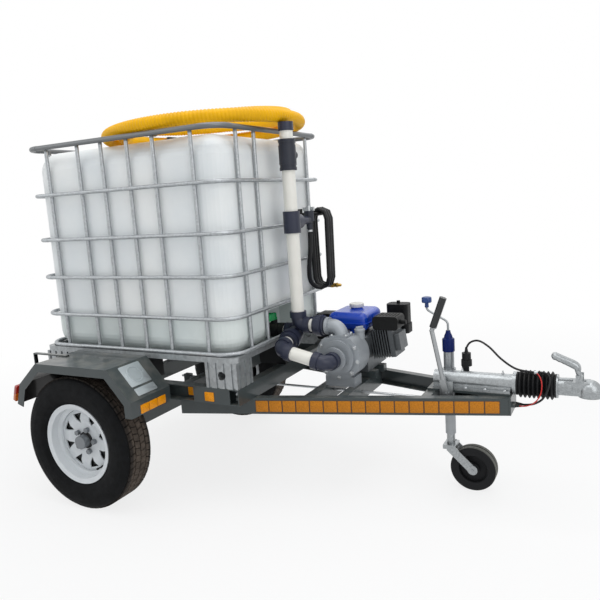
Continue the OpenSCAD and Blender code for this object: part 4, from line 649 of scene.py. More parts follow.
GREEN_PLASTIC = Finish("green_plastic", "#12a35b", rough=0.4, relief=0.0002, gloss=0.35)
PIPE_WHITE = Finish("pipe_white", "#eceae2", rough=0.32, shift=0.03, coat=0.2, relief=0.0002)
PIPE_DARK = Finish("pipe_dark", "#2b2f40", rough=0.36, shift=0.1, relief=0.0003, gloss=0.35)
VALVE_DARK = Finish("valve_dark", "#2b2e38", rough=0.42, shift=0.1, relief=0.0003, gloss=0.3)
CAST = Finish("cast_alloy", "#989da2", rough=0.5, metal=0.35, shift=0.1, grain=420.0, relief=0.0008,
              dust=0.12)
ENGINE_ALLOY = Finish("engine_alloy", "#5f6366", rough=0.42, metal=0.55, shift=0.16, grain=350.0,
                      relief=0.0005)
BLUE_TANK = Finish("blue_tank", "#0f3fae", rough=0.3, coat=0.3, shift=0.08, relief=0.0002, gloss=0.35)
DARK_PLASTIC = Finish("dark_plastic", "#0f1012", rough=0.5, gloss=0.18)
BLACK_METAL = Finish("black_metal", "#0d0e0f", rough=0.5, shift=0.15, gloss=0.18, dust=0.04)
STEEL = Finish("bright_steel", "#b9bcbe", rough=0.3, metal=0.9, shift=0.08, relief=0.0002)
RIM_WHITE = Finish("rim_white", "#d5d9dc", rough=0.34, coat=0.2, shift=0.04, relief=0.0002, dust=0.12)
# painted shade: the drum outside the ring is near black for the shadow seen through the rim's windows; inside
# the ring the nose and nuts are grey
HUB_GREY_SHADED_DRUM = TwoTone("hub_grey", "#141516", rough=0.46, metal=0.2, other="#85898d", ring=(*AXLE, 0.075),
                   other_metal=0.5)
TYRE_RUBBER = TyreRubber("tyre_rubber", "#131416", rough=0.72, grain=520.0, relief=0.0007, gloss=0.12)
BELLOWS_RUBBER = Finish("bellows_rubber", "#131416", rough=0.55, grain=420.0, relief=0.0005, gloss=0.2,
                        dust=0.1)
LAMP = LampLens("tail_lamp", "#b8291c", rough=0.22, coat=0.6, relief=0.0003)
# painted shade: the drawbar tape's amber is a darker copy of the guard reflectors' amber, for the shade along
# the drawbar rails
AMBER_SHADED = Reflector("amber_sheet", "#c67c16", rough=0.36, relief=0.0003, gloss=0.25)
AMBER_BRIGHT = Reflector("amber_lens", "#f59c0c", rough=0.3, relief=0.0003, gloss=0.3)
TAPE_BACK = Finish("tape_backing", "#4a2f16", rough=0.5, relief=0.0002)
BARE_PLATE = Finish("bare_plate", "#b9c1c4", rough=0.34, metal=0.55, relief=0.0002)
JOCKEY_RUBBER = TwoTone("jockey_rubber", "#6c6c67", rough=0.62, other="#1b1c1e",
                        ring=((1665 - ORIGIN_X) * MM, 0.105, 0.103), relief=0.0005, gloss=0.2)
HAND_LEVER = TwoTone("hand_lever", "#a9acae", rough=0.36, metal=0.75, other="#1d1f21", low=0.8, relief=0.0002)
JOCKEY_TUBE = TwoTone("jockey_tube", "#a4a8ab", rough=0.36, metal=0.75, other="#0b1f5e", low=0.6577,
                      relief=0.0002, gloss=0.15)
JOCKEY_CRANK = TwoTone("jockey_crank", "#a4a8ab", rough=0.36, metal=0.75, other="#173f80", low=0.861,
                       before_x=(1500 - ORIGIN_X) * MM, relief=0.0002)
YELLOW = Finish("yellow_hose", "#f0b400", rough=0.4, shift=0.07, relief=0.0003, gloss=0.22)
COUPLING_GREY = Finish("coupling_grey", "#8d9194", rough=0.36, metal=0.6, shift=0.1, relief=0.0003)
BLACK_HOSE = Finish("black_hose", "#141517", rough=0.48, shift=0.2, grain=600.0, gloss=0.3)
RED_JACKET = Finish("red_jacket", "#c01f1a", rough=0.4, relief=0.0002)
PALE_CAP = Finish("pale_cap", "#d9d7d2", rough=0.4, shift=0.06, relief=0.0003)
BRASS = Finish("brass", "#b08d45", rough=0.3, metal=0.9, shift=0.1, relief=0.0002)

DRESS: dict[Finish, tuple[str, ...]] = {
    PAINT: ("side_rails", "cross_members", "drawbar_rails", "pump_bearers", "axle_tube"),
    GUARD_PAINT: ("mudguards",),
    LAMP: ("tail_lamps",),
    ZINC_SHEET: ("pallet_deck", "pallet_feet"),
    BLACK_PLASTIC: ("pallet_blocks", "tank_lid", "outlet_valve_body", "cable_plug"),
    ZINC_TUBE: ("cage_sides", "cage_ends"),
    BOTTLE: ("tank_bottle",),
    GREEN_PLASTIC: ("outlet_valve_handle",),
    PIPE_WHITE: ("white_pipes",),
    PIPE_DARK: ("pipe_elbows", "standpipe_tee", "standpipe_cap"),
    VALVE_DARK: ("top_valve_body", "top_valve_handle", "branch_valve_body"),
    CAST: ("discharge_bend", "pump_casing"),
    STEEL: ("pump_rotor", "brake_rod", "branch_valve_lever"),
    ENGINE_ALLOY: ("engine_block",),
    BLUE_TANK: ("fuel_tank",),
    DARK_PLASTIC: ("air_cleaner", "engine_covers"),
    BLACK_METAL: ("muffler", "hose_hook", "swing_arm_right", "swing_arm_left"),
    ZINC_PLATED: (
        "coupling_housing", "drawtube", "coupling_head", "coupling_handle", "jockey_clamp",
        "jockey_inner_tube", "jockey_fork",
    ),
    JOCKEY_TUBE: ("jockey_outer_tube",),
    JOCKEY_CRANK: ("jockey_crank",),
    HAND_LEVER: ("handbrake_lever",),
    JOCKEY_RUBBER: ("jockey_wheel",),
    RIM_WHITE: ("rim_right", "rim_left"),
    HUB_GREY_SHADED_DRUM: ("hub_right", "hub_left"),
    TYRE_RUBBER: ("tyre_right", "tyre_left"),
    BELLOWS_RUBBER: ("bellows",),
    YELLOW: ("yellow_hose",),
    COUPLING_GREY: ("hose_couplings",),
    BLACK_HOSE: ("black_hose", "light_cable"),
    RED_JACKET: ("breakaway_cable",),
}


def placed(name: str, data: bpy.types.ID) -> Object:
    """Adds an object to the scene.

    Args:
        name: Its name.
        data: Its mesh, curve, camera or light.

    Returns:
        The object.
    """
    obj = bpy.data.objects.new(name, data)
    bpy.context.scene.collection.objects.link(obj)
    return obj


def soften(bm: Mesh, edges: Sequence[Edge], radius: float, steps: int) -> list[Vert]:
    """Rounds edges off.

    Args:
        bm: The bmesh that has them.
        edges: The edges.
        radius: How far the rounding reaches, in metres.
        steps: Faces across it.

    Returns:
        The new corners.
    """
    made = bmesh.ops.bevel(bm, geom=edges, offset=radius, segments=steps, profile=0.5, affect="EDGES",
                           material=-1)
    return made["verts"]


def edges_above(bm: Mesh, height: float) -> list[Edge]:
    """Edges that lie wholly above a height."""
    return [e for e in bm.edges if all(v.co.z > height for v in e.verts)]


def edges_taller(bm: Mesh, height: float) -> list[Edge]:
    """Edges that rise by more than a height."""
    return [e for e in bm.edges if abs(e.verts[0].co.z - e.verts[1].co.z) > height]


class Shape:
    """A mesh in the making, put together from parts that bmesh operators shape."""

    def __init__(self) -> None:
        """Starts with nothing."""
        self.bm = bmesh.new()

    def add(self, make: Callable[[Mesh], None], place: Matrix) -> None:
        """Shapes a part about the origin and sets it in its place.

        Args:
            make: Fills an empty bmesh.
            place: Where the part goes.
        """
        part = bmesh.new()
        make(part)
        bmesh.ops.remove_doubles(part, verts=part.verts, dist=1e-6)
        bmesh.ops.transform(part, matrix=place, verts=part.verts)
        bmesh.ops.recalc_face_normals(part, faces=part.faces)
        mesh = bpy.data.meshes.new("part")
        part.to_mesh(mesh)
        part.free()
        self.bm.from_mesh(mesh)
        bpy.data.meshes.remove(mesh)

    def block(self, size: Triple, place: Matrix, corner: float = 0.0, edge: float = 0.0006) -> None:
        """A block on its foot, with rounded corners and softened top edges.

        Args:
            size: Length, width and height in metres.
            place: Frame of the middle of its foot.
            corner: Radius of its upright edges.
            edge: Radius of its top edges.
        """

        def make(bm: Mesh) -> None:
            """Shapes the block.

            Args:
                bm: An empty bmesh.
            """
            bmesh.ops.create_cube(bm, size=1.0)
            bmesh.ops.translate(bm, verts=bm.verts, vec=(0, 0, 0.5))
            bmesh.ops.scale(bm, verts=bm.verts, vec=size)
            if corner:
                soften(bm, edges_taller(bm, size[2] / 2), corner, 4)
            soften(bm, edges_above(bm, size[2] * 0.99), edge, 2)

        self.add(make, place)

    def turn(self, profile: Outline, place: Matrix, steps: int = 40) -> None:
        """A turned solid from a closed outline.

        Args:
            profile: Radius and height of each corner in millimetres, in order.
            place: Frame whose Z axis is the axis.
            steps: Steps round the axis.
        """

        def make(bm: Mesh) -> None:
            """Turns the outline.

            Args:
                bm: An empty bmesh.
            """
            verts = [bm.verts.new((r * MM, 0, h * MM)) for r, h in profile]
            ends = zip(verts, [*verts[1:], verts[0]])
            edges = [bm.edges.new((a, b)) for a, b in ends if max(a.co.x, b.co.x) > 1e-7]
            bmesh.ops.spin(bm, geom=[*verts, *edges], cent=(0, 0, 0), axis=UP, angle=math.tau,
                           steps=steps, use_merge=True, use_duplicate=False)

        self.add(make, place)

    def bolt(self, place: Matrix, across: float, height: float) -> None:
        """A hexagon head on a washer.

        Args:
            place: Frame of its foot.
            across: Width across the flats, in millimetres.
            height: Height of the head, in millimetres.
        """

        def head(bm: Mesh) -> None:
            """Shapes the head.

            Args:
                bm: An empty bmesh.
            """
            radius = across * MM / 1.732
            bmesh.ops.create_cone(bm, cap_ends=True, segments=6, radius1=radius, radius2=radius,
                                  depth=height * MM)
            bmesh.ops.translate(bm, verts=bm.verts, vec=(0, 0, height * MM / 2))
            soften(bm, edges_above(bm, height * MM * 0.9), 0.0008, 2)

        self.add(head, place)
        r = across * 0.78
        self.turn([(0, 0), (r, 0), (r, 1.2), (r - 0.5, 1.7), (0, 1.7)], place, 20)

    def cut(self, cutter: Shape) -> None:
        """Takes the solids of another shape out of this one.

        Args:
            cutter: The other shape, which is used up.
        """
        objects = []
        for shape in (self, cutter):
            mesh = bpy.data.meshes.new("part")
            shape.bm.to_mesh(mesh)
            shape.bm.free()
            objects.append(placed("part", mesh))
        knife = objects[0].modifiers.new("cut", "BOOLEAN")
        knife.operation, knife.solver, knife.object = "DIFFERENCE", "EXACT", objects[1]
        whole = objects[0].evaluated_get(bpy.context.evaluated_depsgraph_get())
        self.bm = bmesh.new()
        self.bm.from_mesh(whole.to_mesh())
        whole.to_mesh_clear()
        for mesh in [obj.data for obj in objects]:
            bpy.data.meshes.remove(mesh)

    def sweep(
        self, path: Sequence[Vector], sides: int, radius: Callable[[float, float], float], up: Triple = UP
    ) -> None:
        """A closed tube along a path.

        Args:
            path: Points in metres.
            sides: Corners of its section.
            radius: Radius in metres for a distance along the path and an angle round it.
            up: Where the angle is zero, which the path never runs along.
        """
        ways = [b - a for a, b in zip([path[0], *path], [*path[1:], path[-1]])]

        def lay(verts: Iterable[Vert], i: int, run: float) -> None:
            """Lays one ring of corners.

            Args:
                verts: The ring's corners.
                i: The point of the path that they surround.
                run: Its distance along the path.
            """
            frame = facing(path[i], ways[i], up)
            for k, v in enumerate(verts):
                a = math.tau * k / sides
                r = radius(run, a)
                v.co = frame @ Vector((r * math.cos(a), r * math.sin(a), 0))

        def make(bm: Mesh) -> None:
            """Extrudes ring after ring and closes the ends.

            Args:
                bm: An empty bmesh.
            """
            first = bmesh.ops.create_circle(bm, segments=sides, radius=1.0, cap_ends=True)["verts"]
            edges, run = list(bm.edges), 0.0
            lay(first, 0, run)
            for i in range(1, len(path)):
                run += (path[i] - path[i - 1]).length
                made = bmesh.ops.extrude_edge_only(bm, edges=edges)["geom"]
                edges = [g for g in made if isinstance(g, Edge)]
                lay([g for g in made if isinstance(g, Vert)], i, run)
            bmesh.ops.holes_fill(bm, edges=edges, sides=0)

        self.add(make, Matrix())

    def piece(self, name: str, body: str, finish: Finish, crease: float = 32.0) -> Object:
        """Makes the object, which rides on a body.

        Args:
            name: The piece's name.
            body: The body that it moves with.
            finish: Its finish.
            crease: Edges sharper than this many degrees stay sharp.

        Returns:
            The object.
        """
        for f in self.bm.faces:
            f.smooth = True
        for e in self.bm.edges:
            if len(e.link_faces) == 2 and e.calc_face_angle() > math.radians(crease):
                e.smooth = False
        mesh = bpy.data.meshes.new(name)
        self.bm.to_mesh(mesh)
        self.bm.free()
        mesh.materials.append(finish.material())
        obj = placed(name, mesh)
        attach(obj, body)
        LOG.info("%s: %d faces on %s", name, len(mesh.polygons), body)
        return obj


def spline(points: Sequence[Triple], steps: int) -> list[Vector]:
    """A smooth curve through points.

    Args:
        points: The points that it passes, in the axle's millimetres.
        steps: Steps from one to the next.

    Returns:
        Points along the curve, in the axle's millimetres.
    """
    knots = [Vector(p) for p in points]
    last = len(knots) - 1
    out = []
    for i in range(last):
        a, b, c, d = (knots[min(max(k, 0), last)] for k in (i - 1, i, i + 1, i + 2))
        for s in range(steps):
            u = s / steps
            out.append((2 * b + (c - a) * u + (2 * a - 5 * b + 4 * c - d) * u * u
                        + (3 * b - a - 3 * c + d) * u**3) / 2)
    return [*out, knots[last]]


def run_length(path: Sequence[Vector]) -> float:
    """Length of a path."""
    return sum((b - a).length for a, b in zip(path, path[1:]))


def even(path: Sequence[Vector], step: float) -> list[Vector]:
    """A path with its points an even step apart.

    Args:
        path: Points in metres.
        step: The step in metres.

    Returns:
        The new points, with the same ends.
    """
    out, left = [path[0].copy()], step
    for a, b in zip(path, path[1:]):
        span = (b - a).length
        while span >= left:
            a = a.lerp(b, left / span)
            out.append(a.copy())
            span -= left
            left = step
        left -= span
    if (path[-1] - out[-1]).length <= step / 3:
        out.pop()
    return [*out, path[-1].copy()]


def tube_curve(name: str, path: Sequence[Vector], radius: float, finish: Finish) -> Object:
    """A round tube on one open spline, which rides on the chassis.

    Args:
        name: The piece's name.
        path: Points in metres.
        radius: Its radius in millimetres.
        finish: Its finish.

    Returns:
        The curve object.
    """
    data = bpy.data.curves.new(name, "CURVE")
    data.dimensions = "3D"
    data.bevel_depth = radius * MM
    data.bevel_resolution = 5
    data.use_fill_caps = True
    line = data.splines.new("POLY")
    line.points.add(len(path) - 1)
    for point, place in zip(line.points, path):
        point.co = (*place, 1.0)
    line.use_smooth = True
    data.materials.append(finish.material())
    obj = placed(name, data)
    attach(obj, "chassis")
    LOG.info("%s: %d points on chassis", name, len(path))
    return obj


@dataclass
class Studio:
    """Camera, pale floor and soft light."""

    eye: Point = (2285, -2712, 1399)
    right: Point = (0.8861, 0.4589, -0.0656)
    up: Point = (-0.0164, 0.1725, 0.9848)
    back: Point = (0.4632, -0.8716, 0.1604)
    lens: float = 37.48
    sensor: float = 36.0
    sight: float = 200.0
    floor_half: float = 30.0
    floor_colour: Point = (0.86, 0.86, 0.86)
    floor_rough: float = 0.9
    white: Point = (1.0, 1.0, 1.0)
    near_glow: float = 0.8
    glow_ring: tuple[float, float] = (1.6, 4.5)
    sky: float = 0.5
    sky_colour: Point = (0.95, 0.975, 1.0)
    aim: Point = (0.2, 0, 0.8)
    lamps: tuple[tuple[Point, float, float], ...] = (
        ((0.3, -0.6, 6.0), 5.0, 150.0), ((4.6, -2.8, 3.4), 4.0, 85.0), ((-4.5, -3.0, 3.2), 4.0, 40.0),
        ((0.5, 4.5, 4.5), 4.0, 40.0),
    )

    def camera(self) -> None:
        """Sets the camera at the viewing angle."""
        data = bpy.data.cameras.new("camera")
        data.lens = self.lens
        data.sensor_width = self.sensor
        data.clip_end = self.sight
        turn = Matrix((self.right, self.up, self.back)).transposed().to_4x4()
        turn.translation = at(*self.eye)
        obj = placed("camera", data)
        obj.matrix_world = turn
        bpy.context.scene.camera = obj

    def floor(self) -> None:
        """Lays a pale floor that keeps the shadow."""
        bm = bmesh.new()
        bmesh.ops.create_grid(bm, x_segments=1, y_segments=1, size=self.floor_half)
        mesh = bpy.data.meshes.new("floor")
        bm.to_mesh(mesh)
        bm.free()
        shade = Shade("floor")
        shade.dress({
            "Base Color": self.floor_colour, "Roughness": self.floor_rough, "Specular IOR Level": 0.0,
        })
        glow = shade.node("ShaderNodeEmission", None, {"Color": self.white, "Strength": 1.0})
        x, y = shade.axis("X"), shade.axis("Y")
        far = (x * x + y * y).power(0.5).smooth(*self.glow_ring)
        share = shade.seen() * (far * (1 - self.near_glow) + self.near_glow)
        ends = {0: share, 1: shade.shader.outputs[0], 2: glow.outputs[0]}
        both = shade.node("ShaderNodeMixShader", None, ends)
        shade.feed(shade.output.inputs["Surface"], both.outputs[0])
        mesh.materials.append(shade.material)
        placed("floor", mesh)

    def light(self) -> None:
        """Hangs the lamps and sets the sky, which is white where it is seen."""
        world = bpy.data.worlds.new("sky")
        world.use_nodes = True
        bpy.context.scene.world = world
        nodes = Nodes(world.node_tree)
        dim, white = (nodes.node("ShaderNodeBackground", None, {"Color": colour, "Strength": strength})
                      for colour, strength in ((self.sky_colour, self.sky), (self.white, 1.0)))
        ends = {0: nodes.seen(), 1: dim.outputs[0], 2: white.outputs[0]}
        both = nodes.node("ShaderNodeMixShader", None, ends)
        nodes.node("ShaderNodeOutputWorld", None, {"Surface": both.outputs[0]})
        for i, (place, size, power) in enumerate(self.lamps):
            data = bpy.data.lights.new(f"lamp_{i}", "AREA")
            data.size = size
            data.energy = power
            obj = placed(f"lamp_{i}", data)
            obj.location = place
            obj.rotation_euler = (Vector(self.aim) - Vector(place)).to_track_quat("-Z", "Y").to_euler()
        bpy.context.scene.view_settings.view_transform = "Standard"

    def build(self) -> None:
        """Builds the studio."""
        self.camera()
        self.floor()
        self.light()


@dataclass
class SuctionHose:
    """The ribbed yellow hose that lies in two turns on the cage, with a coupling on each end."""

    middle: tuple[float, float] = (365, 25)
    radius: float = 515
    start: float = -200
    turn_in: float = 290
    climb: float = 180
    end: float = 520
    step: float = 78
    rise: float = 71
    tilt: float = 0.036
    low_z: float = 1786.3
    tilt_x: float = 824
    hose_r: float = 32
    end_l: float = 64
    stations: int = 320
    rib: float = 16.5
    rib_d: float = 3.4
    sides: int = 22
    fitting: Outline = (
        (25, 0), (35.6, 0), (36, 3), (36, 12), (34, 14), (34, 19), (36, 21), (36, 33), (32.5, 36), (31, 42),
        (32.5, 48), (35.4, 51), (35.4, 60.5), (34.4, 62), (25, 62),
    )
    ear: tuple[float, float] = (33.5, 27)
    ear_size: Point = (0.022, 0.014, 0.005)

    def point(self, a: float) -> Vector:
        """A point of the coil's axis.

        Args:
            a: The angle round the coil, in degrees.

        Returns:
            The point, in the axle's millimetres.
        """
        r = self.radius - self.step * (min(a, self.turn_in) - self.start) / 360
        r += self.step * max(a - self.turn_in - self.climb, 0) / 360
        x = self.middle[0] + r * math.cos(math.radians(a))
        y = self.middle[1] + r * math.sin(math.radians(a))
        z = self.low_z + self.tilt * (x - self.tilt_x)
        return Vector((x, y, z + self.rise * min(max((a - self.turn_in) / self.climb, 0), 1)))

    def path(self) -> list[Vector]:
        """The coil with its straight ends.

        Returns:
            Points in metres.
        """
        span = self.end - self.start
        body = [self.point(self.start + i * span / self.stations) for i in range(self.stations + 1)]
        lead = body[0] + (body[0] - body[1]).normalized() * self.end_l
        tail = body[-1] + (body[-1] - body[-2]).normalized() * self.end_l
        return [at(*p) for p in (lead, *body, tail)]

    def ribbed(self, run: float, a: float) -> float:
        """The hose's radius in metres at a distance along it and an angle round it."""
        turn = math.tau * run / (self.rib * MM) - a
        return (self.hose_r - self.rib_d * (0.5 - 0.5 * math.cos(turn)) ** 1.4) * MM

    def coupling(self, name: str, tip: Vector, inner: Vector) -> Object:
        """A grooved coupling beyond one end of the hose.

        Args:
            name: The piece's name.
            tip: The hose's end, in metres.
            inner: The point before it.

        Returns:
            The piece.
        """
        shape = Shape()
        frame = facing(tip, tip - inner, UP)
        shape.turn(self.fitting, frame, 48)
        out, along = self.ear
        for side in (-1, 1):
            ear = frame @ facing(Vector((0, side * out * MM, along * MM)), (0, side, 0), UP)
            shape.block(self.ear_size, ear, 0.004)
        return shape.piece(name, "chassis", COUPLING_GREY)

    def build(self) -> None:
        path = self.path()
        fine = even(path, self.rib * MM / 4)
        shape = Shape()
        shape.sweep(fine, self.sides, self.ribbed)
        hose = shape.piece("suction_hose", "chassis", YELLOW, 75.0)
        ends = [self.coupling("suction_coupling_low", path[0], path[1]),
                self.coupling("suction_coupling_high", path[-1], path[-2])]
        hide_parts("yellow_hose")
        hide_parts("hose_couplings")
        run_length(path)


@dataclass
class DeliveryHose:
    """The thin black hose from the tap, hung in a hank over its peg, with a brass nozzle."""

    hose_r: float = 12
    x: float = 860
    drop: tuple[Point, ...] = (
        (860, 126, 1242), (860, 126, 1218), (856, 128, 1150), (836, 140, 1050), (824, 165, 980),
        (834, 200, 940),
    )
    loops: int = 3
    loop_r: float = 46
    bottom: float = 930
    top: float = 1336.6
    first_y: float = 222
    pitch: float = 26
    rings: int = 24
    tail: float = 24
    nozzle: Outline = (
        (0, -6), (10.5, -6), (13.4, -4), (13.4, 8), (11, 12), (11, 26), (12.6, 28), (12.6, 33), (9, 36),
        (7.5, 52), (6, 54), (0, 54),
    )
    clip: Outline = ((12.1, -5), (13.3, -5), (13.6, 0), (13.3, 5), (12.1, 5))
    clip_lug: Point = (0.013, 0.01, 0.009)
    lug_out: float = 0.0126

    def loop(self, s: float) -> Vector:
        """A point of the hank.

        Args:
            s: Turns from the bottom of its first loop.

        Returns:
            The point, in the axle's millimetres.
        """
        half = (self.top - self.bottom) / 2 - self.loop_r
        middle = (self.top + self.bottom) / 2
        bend, run = math.pi * self.loop_r, 2 * half
        d = (s - math.floor(s)) * 2 * (bend + run)
        r = self.loop_r
        if d < bend / 2:
            a = d / r
            x, z = r * math.sin(a), middle - half - r * math.cos(a)
        elif d < bend / 2 + run:
            x, z = r, middle - half + d - bend / 2
        elif d < 1.5 * bend + run:
            a = (d - bend / 2 - run) / r
            x, z = r * math.cos(a), middle + half + r * math.sin(a)
        elif d < 1.5 * bend + 2 * run:
            x, z = -r, middle + half - (d - 1.5 * bend - run)
        else:
            a = (d - 1.5 * bend - 2 * run) / r
            x, z = -r * math.cos(a), middle - half - r * math.sin(a)
        return Vector((self.x + x, self.first_y + self.pitch * s, z))

    def path(self) -> list[Vector]:
        """The whole hose.

        Returns:
            Points in metres.
        """
        hank = [self.loop(i / self.rings) for i in range(self.loops * self.rings + 1)]
        drop = spline([*self.drop, hank[0]], 4)
        return [at(*p) for p in (*drop, *hank[1:], hank[-1] + Vector((self.tail, 0, 0)))]

    def build(self) -> None:
        path = self.path()
        hose = tube_curve("delivery_hose", path, self.hose_r, BLACK_HOSE)
        shape = Shape()
        shape.turn(self.nozzle, facing(path[-1], AHEAD, UP), 32)
        nozzle = shape.piece("delivery_nozzle", "chassis", BRASS)
        shape = Shape()
        shape.turn(self.clip, facing(path[2], UP), 32)
        shape.block(self.clip_lug, facing(path[2] + Vector((0, -self.lug_out, 0)), (0, -1, 0)), 0.002)
        clip = shape.piece("hose_clip", "chassis", STEEL)
        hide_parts("black_hose")
        run_length(path)


@dataclass
class NoseCables:
    """The lighting lead from its parked plug, and the red breakaway cable clipped to it."""

    lead_r: float = 4.5
    lead: tuple[Point, ...] = (
        (1645, 62.9, 660), (1645, 63, 680), (1665, 58, 710), (1705, 45, 722), (1755, 20, 702),
        (1810, -10, 660), (1870, -26, 626), (1930, -28, 616), (1985, -30, 616), (2008, -44, 605),
        (2010, -64, 578), (2000, -72, 546), (1980, -66, 510), (1945, -46, 482), (1910, -26, 469),
        (1886, -18, 466.5), (1872, -18, 466.5),
    )
    red_r: float = 2.5
    red: tuple[Point, ...] = (
        (1872, -44, 466.5), (1884, -44, 466.5), (1920, -62, 476), (1956, -80, 502), (1978, -86, 540),
        (1982, -78, 580), (1972, -58, 606), (1955, -37, 617),
    )
    clip: Outline = ((4.6, -7), (6.6, -7), (7, -5), (7, 5), (6.6, 7), (4.6, 7))
    clip_span: tuple[int, int] = (8, 7)
    boot_l: float = 25
    boot_rings: int = 5
    boot_pitch: float = 4.4

    def boot(self, name: str, place: Vector, way: Triple, radius: float) -> Object:
        """A tapered, ringed strain relief.

        Args:
            name: The piece's name.
            place: Its root, in metres.
            way: Where it points.
            radius: Radius of the cable in it, in millimetres.

        Returns:
            The piece.
        """
        outline = [(radius + 0.2, 0), (radius + 5, 0)]
        for i in range(self.boot_rings):
            run = self.boot_pitch * i
            outline += [(radius + 4.6 - 0.8 * i, 3 + run), (radius + 3.2 - 0.6 * i, 5 + run)]
        outline += [(radius + 1, self.boot_l), (radius + 0.2, self.boot_l)]
        shape = Shape()
        shape.turn(outline, facing(place, way, (0, 1, 0)), 24)
        return shape.piece(name, "chassis", BLACK_PLASTIC)

    def build(self) -> None:
        path = [at(*p) for p in spline(self.lead, 6)]
        lead = tube_curve("light_lead", path, self.lead_r, BLACK_HOSE)
        boots = [self.boot("plug_boot", path[0], UP, self.lead_r),
                 self.boot("gland_boot", path[-1], AHEAD, self.lead_r)]
        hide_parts("light_cable")
        run_length(path)
        path = [at(*p) for p in spline(self.red, 6)]
        red = tube_curve("red_cable", path, self.red_r, RED_JACKET)
        boot = self.boot("red_boot", path[0], AHEAD, self.red_r)
        near, far = (at(*self.lead[i]) for i in self.clip_span)
        shape = Shape()
        shape.turn(self.clip, facing(path[-1], far - near, UP), 24)
        clip = shape.piece("red_clip", "chassis", STEEL)
        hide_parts("breakaway_cable")
        run_length(path)


@dataclass
class DrawBellows:
    """The folded rubber sleeve between the housing and the coupling head."""

    folds: int = 8
    fold_d: float = 13
    fold_steps: int = 10
    wall: float = 3
    lip: float = 3
    end_l: float = 8

    def build(self) -> None:
        """Builds the sleeve over the length of the bellows node, from the housing to the head."""
        low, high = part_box("bellows")
        length = (high.x - low.x) / MM
        root = (high.z - low.z) / 2 / MM - self.fold_d
        pitch = (length - 2 * self.end_l) / self.folds
        outline = [(root, 0.0), (root + self.lip, 0.6), (root + self.lip, self.end_l - 1), (root, self.end_l)]
        for i in range(1, self.fold_steps * self.folds):
            u = i / self.fold_steps
            crest = (0.5 - 0.5 * math.cos(math.tau * u)) ** 0.75
            outline.append((root + self.fold_d * crest, self.end_l + u * pitch))
        outline += [(root, length - self.end_l), (root + self.lip, length - self.end_l + 1),
                    (root + self.lip, length - 0.6), (root, length)]
        inside = [(max(r - self.wall, root - self.wall), run) for r, run in reversed(outline)]
        middle = Vector((low.x, (low.y + high.y) / 2, (low.z + high.z) / 2))
        shape = Shape()
        shape.turn([*outline, *inside], facing(middle, AHEAD, UP), 56)
        sleeve = shape.piece("draw_bellows", "chassis", BELLOWS_RUBBER, 60.0)
        sleeve.parent = None
        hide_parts("bellows")
        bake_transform(sleeve)


@dataclass
class RoadTyre:
    """A tyre with rows of tread blocks and ringed flanks."""

    side: Side
    outer_r: float = 325
    base_r: float = 317
    half_w: float = 94
    tread_half: float = 80
    bead: Outline = ((183, 66), (197.5, 69), (201, 74))
    shoulder: tuple[float, float] = (314, 76)
    base_half: float = 71
    flank_r: float = 207
    flank_h: float = 102
    flank_steps: int = 16
    ridges: tuple[int, ...] = (3, 4, 9, 12)
    ridge_h: float = 0.9
    pitches: int = 60
    rows: tuple[float, ...] = (-51, -17, 17, 51)
    row_w: float = 29
    row_shares: tuple[float, ...] = (0.86, 0.9, 0.9, 0.86)
    sunk: float = 4
    skew: float = 0.22

    def outline(self) -> list[tuple[float, float]]:
        """The carcass, all round.

        Returns:
            Radius and width of each corner, in millimetres.
        """
        flank = []
        for i in range(self.flank_steps + 1):
            a = math.radians(60 * (2 * i / self.flank_steps - 1))
            r = self.flank_r + (1 + math.sin(a) / math.sin(math.radians(60))) / 2 * self.flank_h
            bulge = (self.half_w - 1 - self.tread_half) * (2 * math.cos(a) - 1)
            flank.append((r, self.tread_half + bulge + (self.ridge_h if i in self.ridges else 0.0)))
        half = [*self.bead, *flank, self.shoulder, (self.base_r, self.base_half)]
        return [*half, *[(r, -w) for r, w in reversed(half)]]

    def block(self, bm: Mesh, row: int) -> None:
        """One tread block of a row, on top of the wheel.

        Args:
            bm: The bmesh that takes it.
            row: The row's number.
        """
        length = math.tau * self.outer_r / self.pitches * self.row_shares[row]
        height = self.outer_r - self.base_r + self.sunk
        made = bmesh.ops.create_cube(bm, size=1.0)["verts"]
        bmesh.ops.scale(bm, verts=made, vec=(length * MM, self.row_w * MM, height * MM))
        lean = self.skew * (1 if row % 2 else -1)
        for v in made:
            v.co.x += lean * v.co.y
        place = Vector((0, self.rows[row] * MM, (self.outer_r - height / 2) * MM))
        bmesh.ops.translate(bm, verts=made, vec=place)
        top = [e for e in {e for v in made for e in v.link_edges}
               if all(v.co.z > (self.outer_r - 1) * MM for v in e.verts)]
        rounded = soften(bm, top, 0.0016, 1)
        whole = {v for v in made if v.is_valid} | set(rounded)
        shift = math.tau / self.pitches * (0.5 if row % 2 else 0.0)
        bmesh.ops.rotate(bm, verts=list(whole), cent=(0, 0, 0), matrix=Matrix.Rotation(shift, 3, "Y"))

    def treads(self, bm: Mesh) -> None:
        """All the tread blocks, about the origin.

        Args:
            bm: An empty bmesh.
        """
        for row in range(len(self.rows)):
            self.block(bm, row)
        bmesh.ops.spin(bm, geom=[*bm.verts, *bm.edges, *bm.faces], cent=(0, 0, 0), axis=(0, 1, 0),
                       angle=math.tau * (self.pitches - 1) / self.pitches, steps=self.pitches - 1,
                       use_merge=False, use_duplicate=True)

    def build(self) -> None:
        """Builds the tyre on its wheel."""
        name = self.side.label
        low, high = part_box(f"tyre_{name}")
        middle = (low + high) / 2
        shape = Shape()
        shape.turn(self.outline(), facing(middle, (0, self.side.value, 0)), 120)
        shape.add(self.treads, Matrix.Translation(middle))
        tyre = shape.piece(f"road_tyre_{name}", f"wheel_{name}", TYRE_RUBBER)
        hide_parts(f"tyre_{name}")


